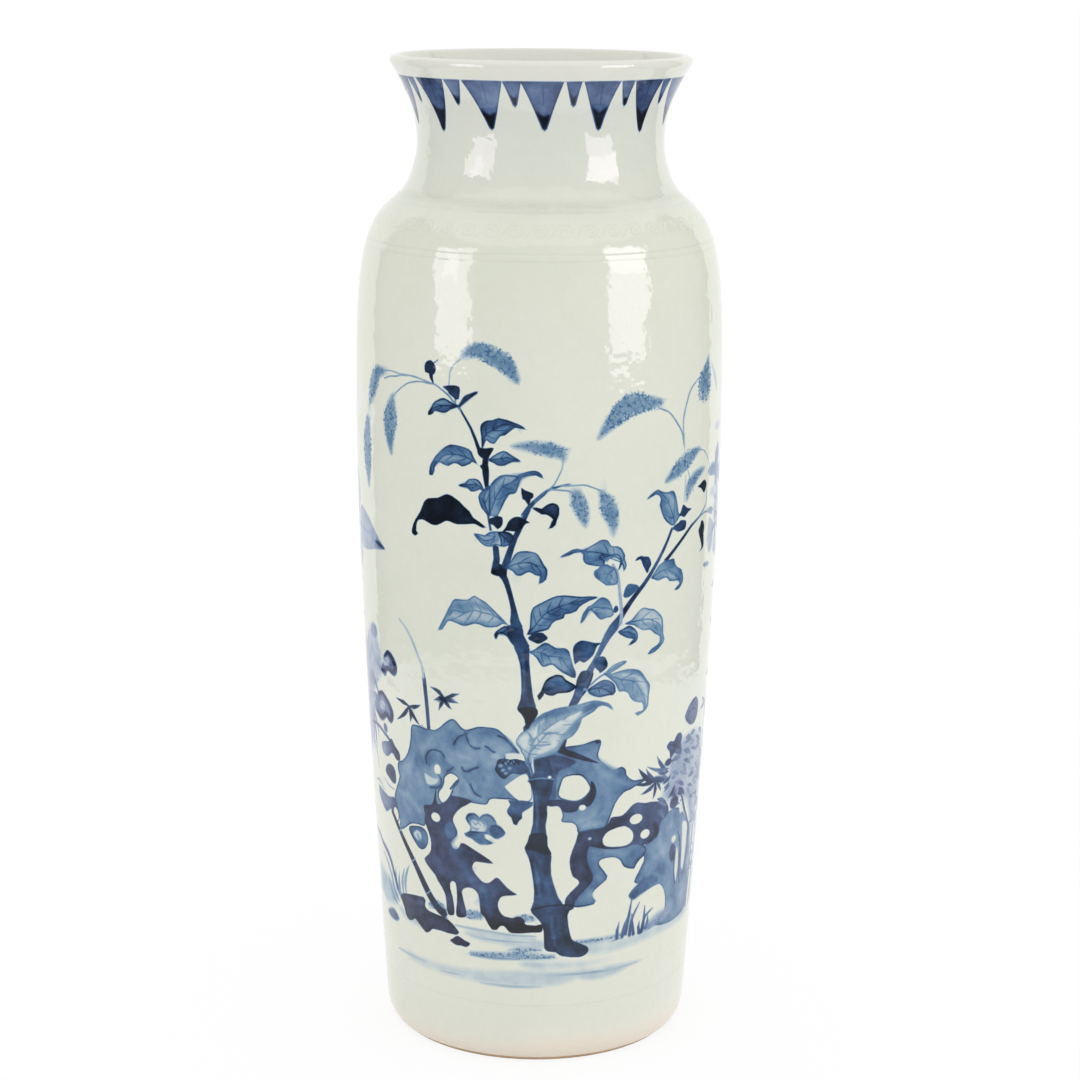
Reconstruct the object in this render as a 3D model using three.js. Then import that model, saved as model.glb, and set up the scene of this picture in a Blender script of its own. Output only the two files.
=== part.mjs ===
// A sleeve vase in blue-and-white porcelain, as a set of separate solids: four thrown sections of
// porcelain clay, the slip that lutes each section to the next, and the glaze on the outside and the
// inside. Units are millimetres. The vase stands on z = 0 with its axis on +Z.

import * as THREE from "three";

// Heights, each measured from the one before it
const GLAZE_LINE = 2.5; // table to where the outside glaze stops above the bare foot
const HEEL_RISE = 9.5; // glaze line to the top of the rounded heel
const BELLY_RISE = 282; // heel to the widest ring of the body
const SHOULDER_RISE = 103; // widest ring to the turn between shoulder and neck
const NECK_RISE = 24; // shoulder turn to the narrowest ring of the neck
const FLARE_RISE = 39; // narrowest ring to the crest of the lip

// Radii of the glazed outside
const HEEL_RADIUS = 72.2;
const HEEL_TUCK = 2.9; // how far the heel draws in from its top down to the glaze line
const BELLY_RADIUS = 85.1;
const TURN_RADIUS = 65.4; // shoulder turn
const NECK_RADIUS = 56.5;
const LIP_RADIUS = 68.9;

// How the outline leans, in degrees from vertical, where two stretches meet
const GLAZE_LINE_LEAN = 31; // outwards
const HEEL_LEAN = 4; // outwards
const TURN_LEAN = 53; // inwards
const LIP_LEAN = 34; // outwards

// How far each stretch keeps the direction that it starts or ends in
const HEEL_PULL = 4;
const BODY_PULL_LOW = 20;
const BODY_PULL_HIGH = 75;
const SHOULDER_PULL_LOW = 75;
const SHOULDER_PULL_HIGH = 22;
const ROOT_PULL_LOW = 6;
const ROOT_PULL_HIGH = 8;
const FLARE_PULL_LOW = 19;
const FLARE_PULL_HIGH = 3;

// Thicknesses, from the outside of the glaze to the inside of the glaze
const WALL_AT_HEEL = 9;
const WALL_AT_BELLY = 7;
const WALL_AT_NECK = 6;
const LIP_THICKNESS = 5.2;
const GLAZE = 0.5; // one coat of glaze
const COAT_GAP = 0.1; // clearance between a coat of glaze and the clay, so that the solids stay apart
const SLIP = 1; // slip in a luted seam

// The foot and the floor
const FOOT_RADIUS = 66.4; // outer edge of the flat tread
const TREAD_WIDTH = 11;
const RECESS_DEPTH = 3; // underside of the base above the table
const RECESS_SLOPE = 3; // how far the recess's side leans in
const FLOOR_THICKNESS = 10;
const FLOOR_FILLET = 12; // inside corner between floor and wall

// Where the sections are luted
const BASE_SEAM_RISE = 4.5; // above the top of the floor's fillet
const LOWER_SECTION_RISE = 175; // base seam to belly seam
const NECK_SEAM_RISE = 2.5; // above the shoulder turn

// Facets
const FACETS = 40; // round the axis
const HEEL_STEPS = 2;
const LOWER_STEPS = 4; // base seam to belly seam
const UPPER_STEPS = 2; // belly seam to the widest ring
const SHOULDER_STEPS = 7;
const ROOT_STEPS = 3;
const FLARE_STEPS = 4;
const LIP_STEPS = 3; // last ring of the flare to the crest
const FILLET_STEPS = 3;

// Colours
const PASTE_COLOUR = 0xe6d8c2;
const SLIP_COLOUR = 0xd9c9ae;
const GLAZE_COLOUR = 0xdfe1d6;

const heelHeight = GLAZE_LINE + HEEL_RISE;
const bellyHeight = heelHeight + BELLY_RISE;
const turnHeight = bellyHeight + SHOULDER_RISE;
const neckHeight = turnHeight + NECK_RISE;
const crestHeight = neckHeight + FLARE_RISE;
const floorHeight = RECESS_DEPTH + FLOOR_THICKNESS;
const filletTop = floorHeight + FLOOR_FILLET;
const baseSeam = filletTop + BASE_SEAM_RISE;
const bellySeam = baseSeam + LOWER_SECTION_RISE;
const neckSeam = turnHeight + NECK_SEAM_RISE;

const point = (radius, height) => new THREE.Vector2(radius, height);

// A direction that climbs and leans outwards by a number of degrees.
function climbing(lean) {
  const angle = THREE.MathUtils.degToRad(lean);
  return point(Math.sin(angle), Math.cos(angle));
}

// One stretch of the outline, from a place and a lean to the next place and lean.
function stretch(start, startLean, startPull, end, endLean, endPull) {
  const leave = climbing(startLean).multiplyScalar(startPull).add(start);
  const arrive = climbing(endLean).multiplyScalar(-endPull).add(end);
  return new THREE.CubicBezierCurve(start, leave, arrive, end);
}

const clayDepth = GLAZE + COAT_GAP; // depth of the clay's surface below the glaze's

const lipRound = LIP_THICKNESS / 2;
const lipCentre = point(LIP_RADIUS - lipRound, crestHeight - lipRound);

// A point of the lip's round edge. 0 degrees faces outwards and 90 is the crest.
function onLip(degrees, depth = 0) {
  const angle = THREE.MathUtils.degToRad(degrees);
  const reach = lipRound - depth;
  return point(reach * Math.cos(angle), reach * Math.sin(angle)).add(lipCentre);
}

const glazeStart = point(HEEL_RADIUS - HEEL_TUCK, GLAZE_LINE);
const heelTop = point(HEEL_RADIUS, heelHeight);
const belly = point(BELLY_RADIUS, bellyHeight);
const turn = point(TURN_RADIUS, turnHeight);
const neck = point(NECK_RADIUS, neckHeight);
const flareTop = onLip(-LIP_LEAN);

const heelCurve = stretch(glazeStart, GLAZE_LINE_LEAN, HEEL_PULL, heelTop, HEEL_LEAN, HEEL_PULL);
const bodyCurve = stretch(heelTop, HEEL_LEAN, BODY_PULL_LOW, belly, 0, BODY_PULL_HIGH);
const shoulderCurve = stretch(belly, 0, SHOULDER_PULL_LOW, turn, -TURN_LEAN, SHOULDER_PULL_HIGH);
const rootCurve = stretch(turn, -TURN_LEAN, ROOT_PULL_LOW, neck, 0, ROOT_PULL_HIGH);
const flareCurve = stretch(neck, 0, FLARE_PULL_LOW, flareTop, LIP_LEAN, FLARE_PULL_HIGH);

// The share of a curve at which it reaches a height. Every stretch only climbs.
function shareAtHeight(curve, height) {
  let low = 0;
  let high = 1;
  for (let halving = 0; halving < 50; halving++) {
    const middle = (low + high) / 2;
    if (curve.getPoint(middle).y < height) low = middle;
    else high = middle;
  }
  return (low + high) / 2;
}

// A ring of the wall: its place on the glazed outside, the direction into the wall and the thickness.
function ringAt(curve, share, thickness) {
  const tangent = curve.getTangent(share);
  return { place: curve.getPoint(share), inwards: point(-tangent.y, tangent.x), thickness };
}

// The ring's point at a depth below the glazed outside.
const into = (ring, depth) => ring.inwards.clone().multiplyScalar(depth).add(ring.place);

// Rings at even steps between two heights of one curve, leaving out the first and keeping the last.
function rings(curve, steps, thicknessLow, thicknessHigh, fromHeight, toHeight) {
  const from = fromHeight === undefined ? 0 : shareAtHeight(curve, fromHeight);
  const to = toHeight === undefined ? 1 : shareAtHeight(curve, toHeight);
  const made = [];
  for (let step = 1; step <= steps; step++) {
    const share = from + ((to - from) * step) / steps;
    made.push(ringAt(curve, share, THREE.MathUtils.lerp(thicknessLow, thicknessHigh, share)));
  }
  return made;
}

// Two rings, one at each face of a seam's slip.
function seamRings(curve, height, thicknessLow, thicknessHigh) {
  return [height - SLIP / 2, height + SLIP / 2].map((face) => {
    const share = shareAtHeight(curve, face);
    return ringAt(curve, share, THREE.MathUtils.lerp(thicknessLow, thicknessHigh, share));
  });
}

// Every ring of the wall, from the glaze line up to the lip, with the seams' rings noted by name.
const bodyWalls = [WALL_AT_HEEL, WALL_AT_BELLY];
const upperWalls = [WALL_AT_BELLY, WALL_AT_NECK];
const lipWalls = [WALL_AT_NECK, LIP_THICKNESS];
const wall = [ringAt(heelCurve, 0, WALL_AT_HEEL)];
wall.push(...rings(heelCurve, HEEL_STEPS, WALL_AT_HEEL, WALL_AT_HEEL));
const filletRing = ringAt(bodyCurve, shareAtHeight(bodyCurve, filletTop), WALL_AT_HEEL);

const baseSeamAt = wall.push(...seamRings(bodyCurve, baseSeam, ...bodyWalls)) - 2;
wall.push(
  ...rings(bodyCurve, LOWER_STEPS, ...bodyWalls, baseSeam + SLIP / 2, bellySeam - SLIP / 2).slice(0, -1),
);
const bellySeamAt = wall.push(...seamRings(bodyCurve, bellySeam, ...bodyWalls)) - 2;
wall.push(...rings(bodyCurve, UPPER_STEPS, ...bodyWalls, bellySeam + SLIP / 2));
wall.push(...rings(shoulderCurve, SHOULDER_STEPS, ...upperWalls));
const neckSeamAt = wall.push(...seamRings(rootCurve, neckSeam, WALL_AT_NECK, WALL_AT_NECK)) - 2;
wall.push(...rings(rootCurve, ROOT_STEPS, WALL_AT_NECK, WALL_AT_NECK, neckSeam + SLIP / 2));
wall.push(...rings(flareCurve, FLARE_STEPS, ...lipWalls));
const lastRing = wall.length - 1;

// The lip's round edge at a depth below the glaze, from just past one angle to just short of another.
function lipArc(fromDegrees, toDegrees, depth) {
  const made = [];
  for (let step = 1; step < LIP_STEPS; step++) {
    made.push(onLip(fromDegrees + ((toDegrees - fromDegrees) * step) / LIP_STEPS, depth));
  }
  return made;
}

const outerLip = (depth) => lipArc(-LIP_LEAN, 90, depth);
const innerLip = (depth) => lipArc(90, 180 - LIP_LEAN, depth);
const crest = (depth) => onLip(90, depth);

// A run of the wall's rings at a depth below the outside, or at a height above the inside.
const outside = (from, to, depth) => wall.slice(from, to + 1).map((ring) => into(ring, depth));
const insidePoint = (ring, depth) => into(ring, ring.thickness - depth);
const inside = (from, to, depth) => wall.slice(from, to + 1).map((ring) => insidePoint(ring, depth));

// The floor and its fillet, from the axis out to the wall, at a depth below the inside glaze.
function floorOutline(depth) {
  const end = insidePoint(filletRing, depth);
  const level = floorHeight + clayDepth - depth;
  const start = point(end.x - FLOOR_FILLET, level);
  const fillet = new THREE.QuadraticBezierCurve(start, point(end.x, level), end);
  return [point(0, level), ...fillet.getPoints(FILLET_STEPS)];
}

// The bare underside, from the axis out over the recess and the flat tread.
function footOutline() {
  const treadInner = FOOT_RADIUS - TREAD_WIDTH;
  return [
    point(0, RECESS_DEPTH),
    point(treadInner - RECESS_SLOPE, RECESS_DEPTH),
    point(treadInner, 0),
    point(FOOT_RADIUS, 0),
  ];
}

const paste = new THREE.MeshStandardMaterial({ color: PASTE_COLOUR, roughness: 0.85, metalness: 0 });
const slip = new THREE.MeshStandardMaterial({ color: SLIP_COLOUR, roughness: 0.9, metalness: 0 });
const glaze = new THREE.MeshStandardMaterial({ color: GLAZE_COLOUR, roughness: 0.12, metalness: 0 });

const vase = new THREE.Group();
vase.rotation.x = Math.PI / 2; // a lathe turns about Y, and the vase stands along Z

// Turns an outline about the axis. The outline runs anticlockwise: up the outside and down the inside.
function turned(name, outline, material) {
  const mesh = new THREE.Mesh(new THREE.LatheGeometry(outline, FACETS), material);
  mesh.name = name;
  vase.add(mesh);
}

// A closed band of the wall between two of its rings, from below one coat of glaze to above the other.
function band(from, to) {
  const up = outside(from, to, clayDepth);
  return [...up, ...inside(from, to, clayDepth).reverse(), up[0]];
}

turned(
  "base_and_foot",
  [...footOutline(), ...outside(0, baseSeamAt, clayDepth), ...inside(baseSeamAt, baseSeamAt, clayDepth),
    ...floorOutline(clayDepth).reverse()],
  paste,
);
turned("base_seam_slip", band(baseSeamAt, baseSeamAt + 1), slip);
turned("lower_body_section", band(baseSeamAt + 1, bellySeamAt), paste);
turned("belly_seam_slip", band(bellySeamAt, bellySeamAt + 1), slip);
turned("upper_body_section", band(bellySeamAt + 1, neckSeamAt), paste);
turned("neck_seam_slip", band(neckSeamAt, neckSeamAt + 1), slip);

const neckUp = outside(neckSeamAt + 1, lastRing, clayDepth);
turned(
  "neck_and_lip",
  [...neckUp, ...outerLip(clayDepth), crest(clayDepth), ...innerLip(clayDepth),
    ...inside(neckSeamAt + 1, lastRing, clayDepth).reverse(), neckUp[0]],
  paste,
);

const glazeFoot = into(wall[0], 0);
turned(
  "outside_glaze",
  [...outside(0, lastRing, 0), ...outerLip(0), crest(0), crest(GLAZE), ...outerLip(GLAZE).reverse(),
    ...outside(0, lastRing, GLAZE).reverse(), glazeFoot],
  glaze,
);

turned(
  "inside_glaze",
  [...floorOutline(GLAZE), ...inside(baseSeamAt, lastRing, GLAZE), ...innerLip(GLAZE).reverse(), crest(GLAZE),
    crest(0), ...innerLip(0), ...inside(baseSeamAt, lastRing, 0).reverse(), ...floorOutline(0).reverse()],
  glaze,
);

export default vase;
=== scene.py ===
"""A tall blue-and-white porcelain sleeve vase, dressed around its solids. Metres, +Z up, foot on z = 0.

The painting is laid as a decorator lays it: every leaf, branch, rock and line is a brush shape on the wall.
Places and widths of brushwork are in millimetres, (around, up): around the wall to the right of the front,
measured at a radius of 80 mm, and up from the table. Tones run from 0, bare glaze, to 1, the darkest cobalt.
"""

import math

import bmesh
import bpy
import numpy as np
from mathutils import Matrix, Vector
from mathutils.geometry import delaunay_2d_cdt


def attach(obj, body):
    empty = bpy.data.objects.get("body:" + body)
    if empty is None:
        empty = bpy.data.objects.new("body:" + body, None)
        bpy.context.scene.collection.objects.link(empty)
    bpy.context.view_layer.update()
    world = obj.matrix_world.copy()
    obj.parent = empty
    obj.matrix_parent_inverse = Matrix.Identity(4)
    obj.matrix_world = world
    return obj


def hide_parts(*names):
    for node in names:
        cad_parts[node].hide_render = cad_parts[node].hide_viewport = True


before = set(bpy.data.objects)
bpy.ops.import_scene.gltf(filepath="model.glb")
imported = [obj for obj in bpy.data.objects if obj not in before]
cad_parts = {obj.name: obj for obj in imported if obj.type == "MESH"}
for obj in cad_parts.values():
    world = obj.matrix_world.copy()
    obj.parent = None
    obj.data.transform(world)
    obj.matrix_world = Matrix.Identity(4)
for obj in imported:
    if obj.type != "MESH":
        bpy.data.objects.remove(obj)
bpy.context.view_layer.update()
scene = bpy.context.scene

MM = 0.001
BODY = "root"

# Camera, found from the photograph's outline and from how its rings curve
FRAME_PIXELS = 1080
FOCAL_PIXELS = 2666
CAMERA_DISTANCE = 1228 * MM
CAMERA_HEIGHT = 512.5 * MM
CAMERA_ASIDE = 0.9 * MM
CAMERA_PITCH = 0.223
CAMERA_ROLL = 0.0066
SENSOR_WIDTH = 36.0

# Outline of the glazed outside in millimetres, (radius, height), the same as the solids'
GLAZE_LINE = Vector((69.3, 2.5))
HEEL_TOP = Vector((72.2, 12))
BELLY = Vector((85.1, 294))
TURN = Vector((65.4, 397))
NECK = Vector((56.5, 421))
CREST = 460
LIP_RADIUS = 68.9
LIP_THICKNESS = 5.2
LIP_LEAN = 34
GLAZE = 0.5
COAT_GAP = 0.1
WALL_HEIGHTS = [12, 294, 397, 421, 456]
WALL_THICKNESSES = [9, 7, 6, 6, LIP_THICKNESS]
FOOT_RADIUS = 66.4
TREAD_WIDTH = 11
RECESS_DEPTH = 3
RECESS_SLOPE = 3
FLOOR_HEIGHT = 13
FLOOR_FILLET = 12
BASE_SEAM = 29.5
SLIP = 1

# Paint coordinates, and how close the columns and rows of the wall's own mesh lie
PAINT_RADIUS = 80
HALF_ROUND = math.pi * PAINT_RADIUS
COLUMNS = 144
ROW_STEP = 6.5
TURN_STEP = math.radians(7)
LIP_STEP = 12
INSIDE_LIP_STEP = 8


def climbing(lean):
    """A direction that climbs and leans outwards by a number of degrees."""
    return Vector((math.sin(math.radians(lean)), math.cos(math.radians(lean))))


def stretch(start, start_lean, start_pull, end, end_lean, end_pull, steps):
    """Points of one Bezier stretch of the outline, leaving out its first. Each end has a lean and a pull."""
    leave = start + climbing(start_lean) * start_pull
    arrive = end - climbing(end_lean) * end_pull
    points = []
    for step in range(1, steps + 1):
        t = step / steps
        u = 1 - t
        points.append(start * u**3 + leave * 3 * u * u * t + arrive * 3 * u * t * t + end * t**3)
    return points


def on_lip(degrees, depth=0.0):
    """A point of the lip's round edge, at a depth. 0 degrees faces outwards and 90 is the crest."""
    a, half = math.radians(degrees), LIP_THICKNESS / 2
    return Vector((LIP_RADIUS - half, CREST - half)) + Vector((math.cos(a), math.sin(a))) * (half - depth)


def body_outline():
    """The glazed outside from the glaze line up to where the lip starts to round."""
    return [
        GLAZE_LINE,
        *stretch(GLAZE_LINE, 31, 4, HEEL_TOP, 4, 4, 6),
        *stretch(HEEL_TOP, 4, 20, BELLY, 0, 75, 66),
        *stretch(BELLY, 0, 75, TURN, -53, 22, 40),
        *stretch(TURN, -53, 6, NECK, 0, 8, 14),
        *stretch(NECK, 0, 19, on_lip(-LIP_LEAN), LIP_LEAN, 3, 20),
    ]


class Outline:
    """A row of (radius, height) points, a measure that grows along it, and its outward normals."""

    def __init__(self, points, measure):
        self.points = np.array([tuple(p) for p in points])
        self.measure = np.array(measure)
        along = np.gradient(self.points, axis=0)
        along /= np.linalg.norm(along, axis=1)[:, None]
        self.normals = np.stack([along[:, 1], -along[:, 0]], axis=1)

    def at(self, measure):
        """Radii, heights and the two parts of the outward normals at measures."""
        columns = (*self.points.T, *self.normals.T)
        return [np.interp(measure, self.measure, column) for column in columns]


def outside_outline():
    """The outside from the rolled lower edge of the glaze to the crest.

    Its measure is the height above the table. Below the glaze line and past the start of the lip it goes on
    by the distance along the outline.
    """
    body = body_outline()
    roll = [GLAZE_LINE + Vector(step) for step in ((-0.48, 0.32), (-0.4, 0.1), (-0.22, -0.04))]
    lip = [on_lip(angle) for angle in range(LIP_STEP - LIP_LEAN, 90, LIP_STEP)] + [on_lip(90)]
    points = roll + body + lip
    measure = [p.y for p in points]
    for i in range(len(roll) - 1, -1, -1):
        measure[i] = measure[i + 1] - (points[i + 1] - points[i]).length
    for i in range(len(roll) + len(body), len(points)):
        measure[i] = measure[i - 1] + (points[i] - points[i - 1]).length
    return Outline(points, measure)


def inside_point(place, normal, depth):
    """The point at a depth under the inside glaze, across the wall from a place on the outside."""
    thickness = np.interp(place[1], WALL_HEIGHTS, WALL_THICKNESSES)
    return Vector(place) - Vector(normal) * (thickness - depth)


OUTSIDE = outside_outline()


# Brushwork. Each layer is a soft-edged shape on one of these films. The last one holds the hue of the blue.
# The incised film holds the cut lines, and also a ring of painted shade at the root of the neck.
COBALT, STIPPLE, DRY_BRUSH, INCISED_AND_NECK_SHADE, VIOLET = range(5)
CURVE_STEP = 1.2
FLATNESS = 0.09
LONGEST_STEP = 5
SHARPEST_CORNER = 0.3
# Paint that pools at an edge: its reach, how far in its row of vertices lies, and one of how many stay
POOL_REACH = 1.2
POOL_INSET = 1.6
POOL_SPACING = 3
# A stroke's guide lines lie this far outside its edge, and its end corners at this share of the full reach
OUTSIDE_EDGE = 0.04
CORNER_REACH = 0.72
THINNEST = 0.03
rng = np.random.default_rng(11)
guides = []
dots = []
layers = []


def smooth_line(points, closed=False, curved=True):
    """A curve through points, or straight lines between them, as a row of places about one step apart."""
    p = np.array(points, float)
    n = len(p)
    ahead = np.roll(p, -1, axis=0) - p
    length = np.maximum(np.linalg.norm(ahead, axis=1), 1e-6)
    slope = (ahead + np.roll(ahead, 1, axis=0)) / (length + np.roll(length, 1))[:, None]
    if not closed:
        slope[0], slope[-1] = ahead[0] / length[0], ahead[-2] / length[-2]
    slope *= curved
    rows = []
    for i in range(n if closed else n - 1):
        j = (i + 1) % n
        count = max(1, round(length[i] / CURVE_STEP))
        t = (np.arange(count) / count)[:, None]
        rows.append((2 * t**3 - 3 * t**2 + 1) * p[i] + (t**3 - 2 * t**2 + t) * length[i] * slope[i]
            + (3 * t**2 - 2 * t**3) * p[j] + (t**3 - t**2) * length[i] * slope[j])
    if not closed:
        rows.append(p[-1:])
    return thinned(np.vstack(rows))


def thinned(line):
    """The line without the places that its neighbours stand in for, where it runs nearly straight."""
    kept = [0]
    last = len(line) - 1
    start = 0
    while start < last:
        end = start + 1
        while end < last:
            a, b = line[start], line[end + 1]
            between = line[start + 1:end + 1] - a
            span = np.hypot(*(b - a))
            off = np.abs(between[:, 0] * (b - a)[1] - between[:, 1] * (b - a)[0]) / max(span, 1e-9)
            if span > LONGEST_STEP or off.max() > FLATNESS:
                break
            end += 1
        kept.append(end)
        start = end
    return line[kept]


def nearest(places, line, closed):
    """For each place, its distance to a line and how far along it, from 0 to 1, the nearest point lies."""
    a = line if closed else line[:-1]
    b = np.roll(line, -1, axis=0) if closed else line[1:]
    ab = b - a
    length = np.maximum(np.linalg.norm(ab, axis=1), 1e-9)
    to = places[:, None, :] - a[None]
    t = np.clip((to * ab).sum(2) / length**2, 0, 1)
    gap = np.linalg.norm(to - t[..., None] * ab, axis=2)
    pick = gap.argmin(1)
    row = np.arange(len(places))
    start = np.concatenate([[0], np.cumsum(length)])
    return gap[row, pick], (start[pick] + t[row, pick] * length[pick]) / start[-1]


def within(places, line):
    """Whether each place lies inside a closed line, also where the line crosses itself."""
    x, y = places[:, 0, None], places[:, 1, None]
    x0, y0 = line.T
    x1, y1 = np.roll(line, -1, axis=0).T
    rise = np.where(y1 == y0, 1e-9, y1 - y0)
    crossed = ((y0 > y) != (y1 > y)) & (x < x0 + (y - y0) * (x1 - x0) / rise)
    return (crossed * np.sign(rise)).sum(1) != 0


def beside(line, offset, closed=False):
    """The line moved sideways by an offset, to its left where that is positive, and further at corners."""
    ahead = np.roll(line, -1, axis=0) - line
    if not closed:
        ahead[-1] = ahead[-2]
    ahead /= np.maximum(np.linalg.norm(ahead, axis=1), 1e-9)[:, None]
    behind = np.roll(ahead, 1, axis=0)
    if not closed:
        behind[0] = ahead[0]
    along = ahead + behind
    along /= np.maximum(np.linalg.norm(along, axis=1), 1e-9)[:, None]
    corner = np.maximum((along * ahead).sum(1), SHARPEST_CORNER)[:, None]
    return line + np.stack([-along[:, 1], along[:, 0]], axis=1) * np.reshape(offset, (-1, 1)) / corner


def spread(values, share):
    """Values spread evenly along a line, read at shares of its length."""
    values = np.atleast_1d(values)
    return np.interp(share, np.linspace(0, 1, len(values)), values)


def oval(centre, half_wide, half_tall, lean=0, count=12):
    """Points round an oval that leans to the left by a number of degrees."""
    a = np.arange(count) * 2 * math.pi / count
    c, s = math.cos(math.radians(lean)), math.sin(math.radians(lean))
    x, y = half_wide * np.cos(a), half_tall * np.sin(a)
    return np.stack([centre[0] + c * x - s * y, centre[1] + s * x + c * y], axis=1)


def uneven(count, thin, thick):
    """Widths of a line drawn with a brush that is pressed and lifted."""
    return thin + (thick - thin) * rng.random(count)


class Brush:
    """Lays paint at a place on the wall: moved round it and up, and mirrored where facing is -1.

    violet is the hue of its cobalt, from 0 for a clear blue to 1 for a violet blue.
    """

    def __init__(self, around=0, up=0, facing=1):
        self.around = around
        self.up = up
        self.facing = facing
        self.violet = 0

    def place(self, points):
        return np.array(points, float) * (self.facing, 1) + (self.around, self.up)

    def lay(self, film, lines, closed, reach, paint, inner=None, guided=True):
        """Keeps one layer, and again a whole turn away where it passes the middle of the back."""
        every = np.vstack(lines)
        low, high = every.min(0) - reach, every.max(0) + reach
        for turn in (0, -2 * HALF_ROUND, 2 * HALF_ROUND):
            if low[0] + turn < HALF_ROUND and high[0] + turn > -HALF_ROUND:
                shift = np.array([turn, 0])
                if guided:
                    guides.extend((line + shift, closed) for line in lines)
                layers.append((film, low + shift, high + shift, shift, paint, self.violet))
                if inner is not None:
                    dots.append(inner + shift)

    def wash(self, points, tone, soft=0.45, shade=None, curved=True, pool=0, guided=True):
        """A filled shape. shade gives tones to add at places, pool one to add where paint pools at the edge.

        A shape whose edge is drawn over it by a stroke needs no guide lines of its own.
        """
        line = smooth_line(self.place(points), closed=True, curved=curved)

        def paint(places):
            gap, _ = nearest(places, line, True)
            cover = np.clip(0.5 - np.where(within(places, line), -gap, gap) / soft, 0, 1)
            return cover, tone + pool * np.exp(-gap / POOL_REACH) + (shade(places) if shade else 0)

        inner = None
        if pool:
            inner = np.vstack([beside(line, inset, True) for inset in (POOL_INSET, -POOL_INSET)])
            inner = inner[::POOL_SPACING]
            inner = inner[within(inner, line) & (nearest(inner, line, True)[0] > POOL_REACH)]
        edges = [beside(line, soft / 2, True), beside(line, -soft / 2, True)]
        self.lay(COBALT, edges, True, soft, paint, inner, guided)

    def stroke(self, points, widths, tones, soft=0.4, film=COBALT, closed=False):
        """A brush line. Widths and tones are spread evenly along it."""
        line = smooth_line(self.place(points), closed)
        length = np.linalg.norm(np.diff(line, axis=0), axis=1)
        share = np.concatenate([[0], np.cumsum(length)]) / length.sum()
        half = spread(widths, share) / 2

        def paint(places):
            gap, along = nearest(places, line, closed)
            cover = np.clip(0.5 + (spread(widths, along) / 2 - gap) / soft, 0, 1)
            return cover, spread(tones, along)

        offsets = [half + soft / 2 + OUTSIDE_EDGE, -half - soft / 2 - OUTSIDE_EDGE]
        if half.max() > soft:
            inner = np.maximum(half - soft / 2, THINNEST)
            offsets += [inner, -inner]
        else:
            offsets.append(half * 0)
        caps = None
        if not closed:
            reach = np.array([half[0], half[-1]])[:, None] + soft / 2
            ahead = np.array([line[0] - line[1], line[-1] - line[-2]])
            ahead *= reach / np.maximum(np.linalg.norm(ahead, axis=1), 1e-9)[:, None]
            across = ahead[:, ::-1] * (-1, 1)
            ends = line[[0, -1]]
            wide = half[[0, -1]] > soft
            corners = [(ends + CORNER_REACH * (ahead + side * across))[wide] for side in (-1, 1)]
            caps = np.vstack([ends + ahead, *corners])
        self.lay(film, [beside(line, o, closed) for o in offsets], closed, half.max() + soft, paint, caps)

    def streaks(self, rows, soft, ends=(1, 1)):
        """Soft streaks that swell in the middle: line, width, tone."""
        for line, width, tone in rows:
            self.stroke(line, [ends[0], width, ends[-1]], tone, soft)

    def blot(self, centre, half_wide, half_tall, tone, soft=0.8, lean=0, count=12):
        """An oval touch of the brush."""
        self.wash(oval(centre, half_wide, half_tall, lean, count), tone, soft)

    def bare(self, points):
        """Glaze left bare in a wash, such as the eye of a rock."""
        self.wash(points, 0)


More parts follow.
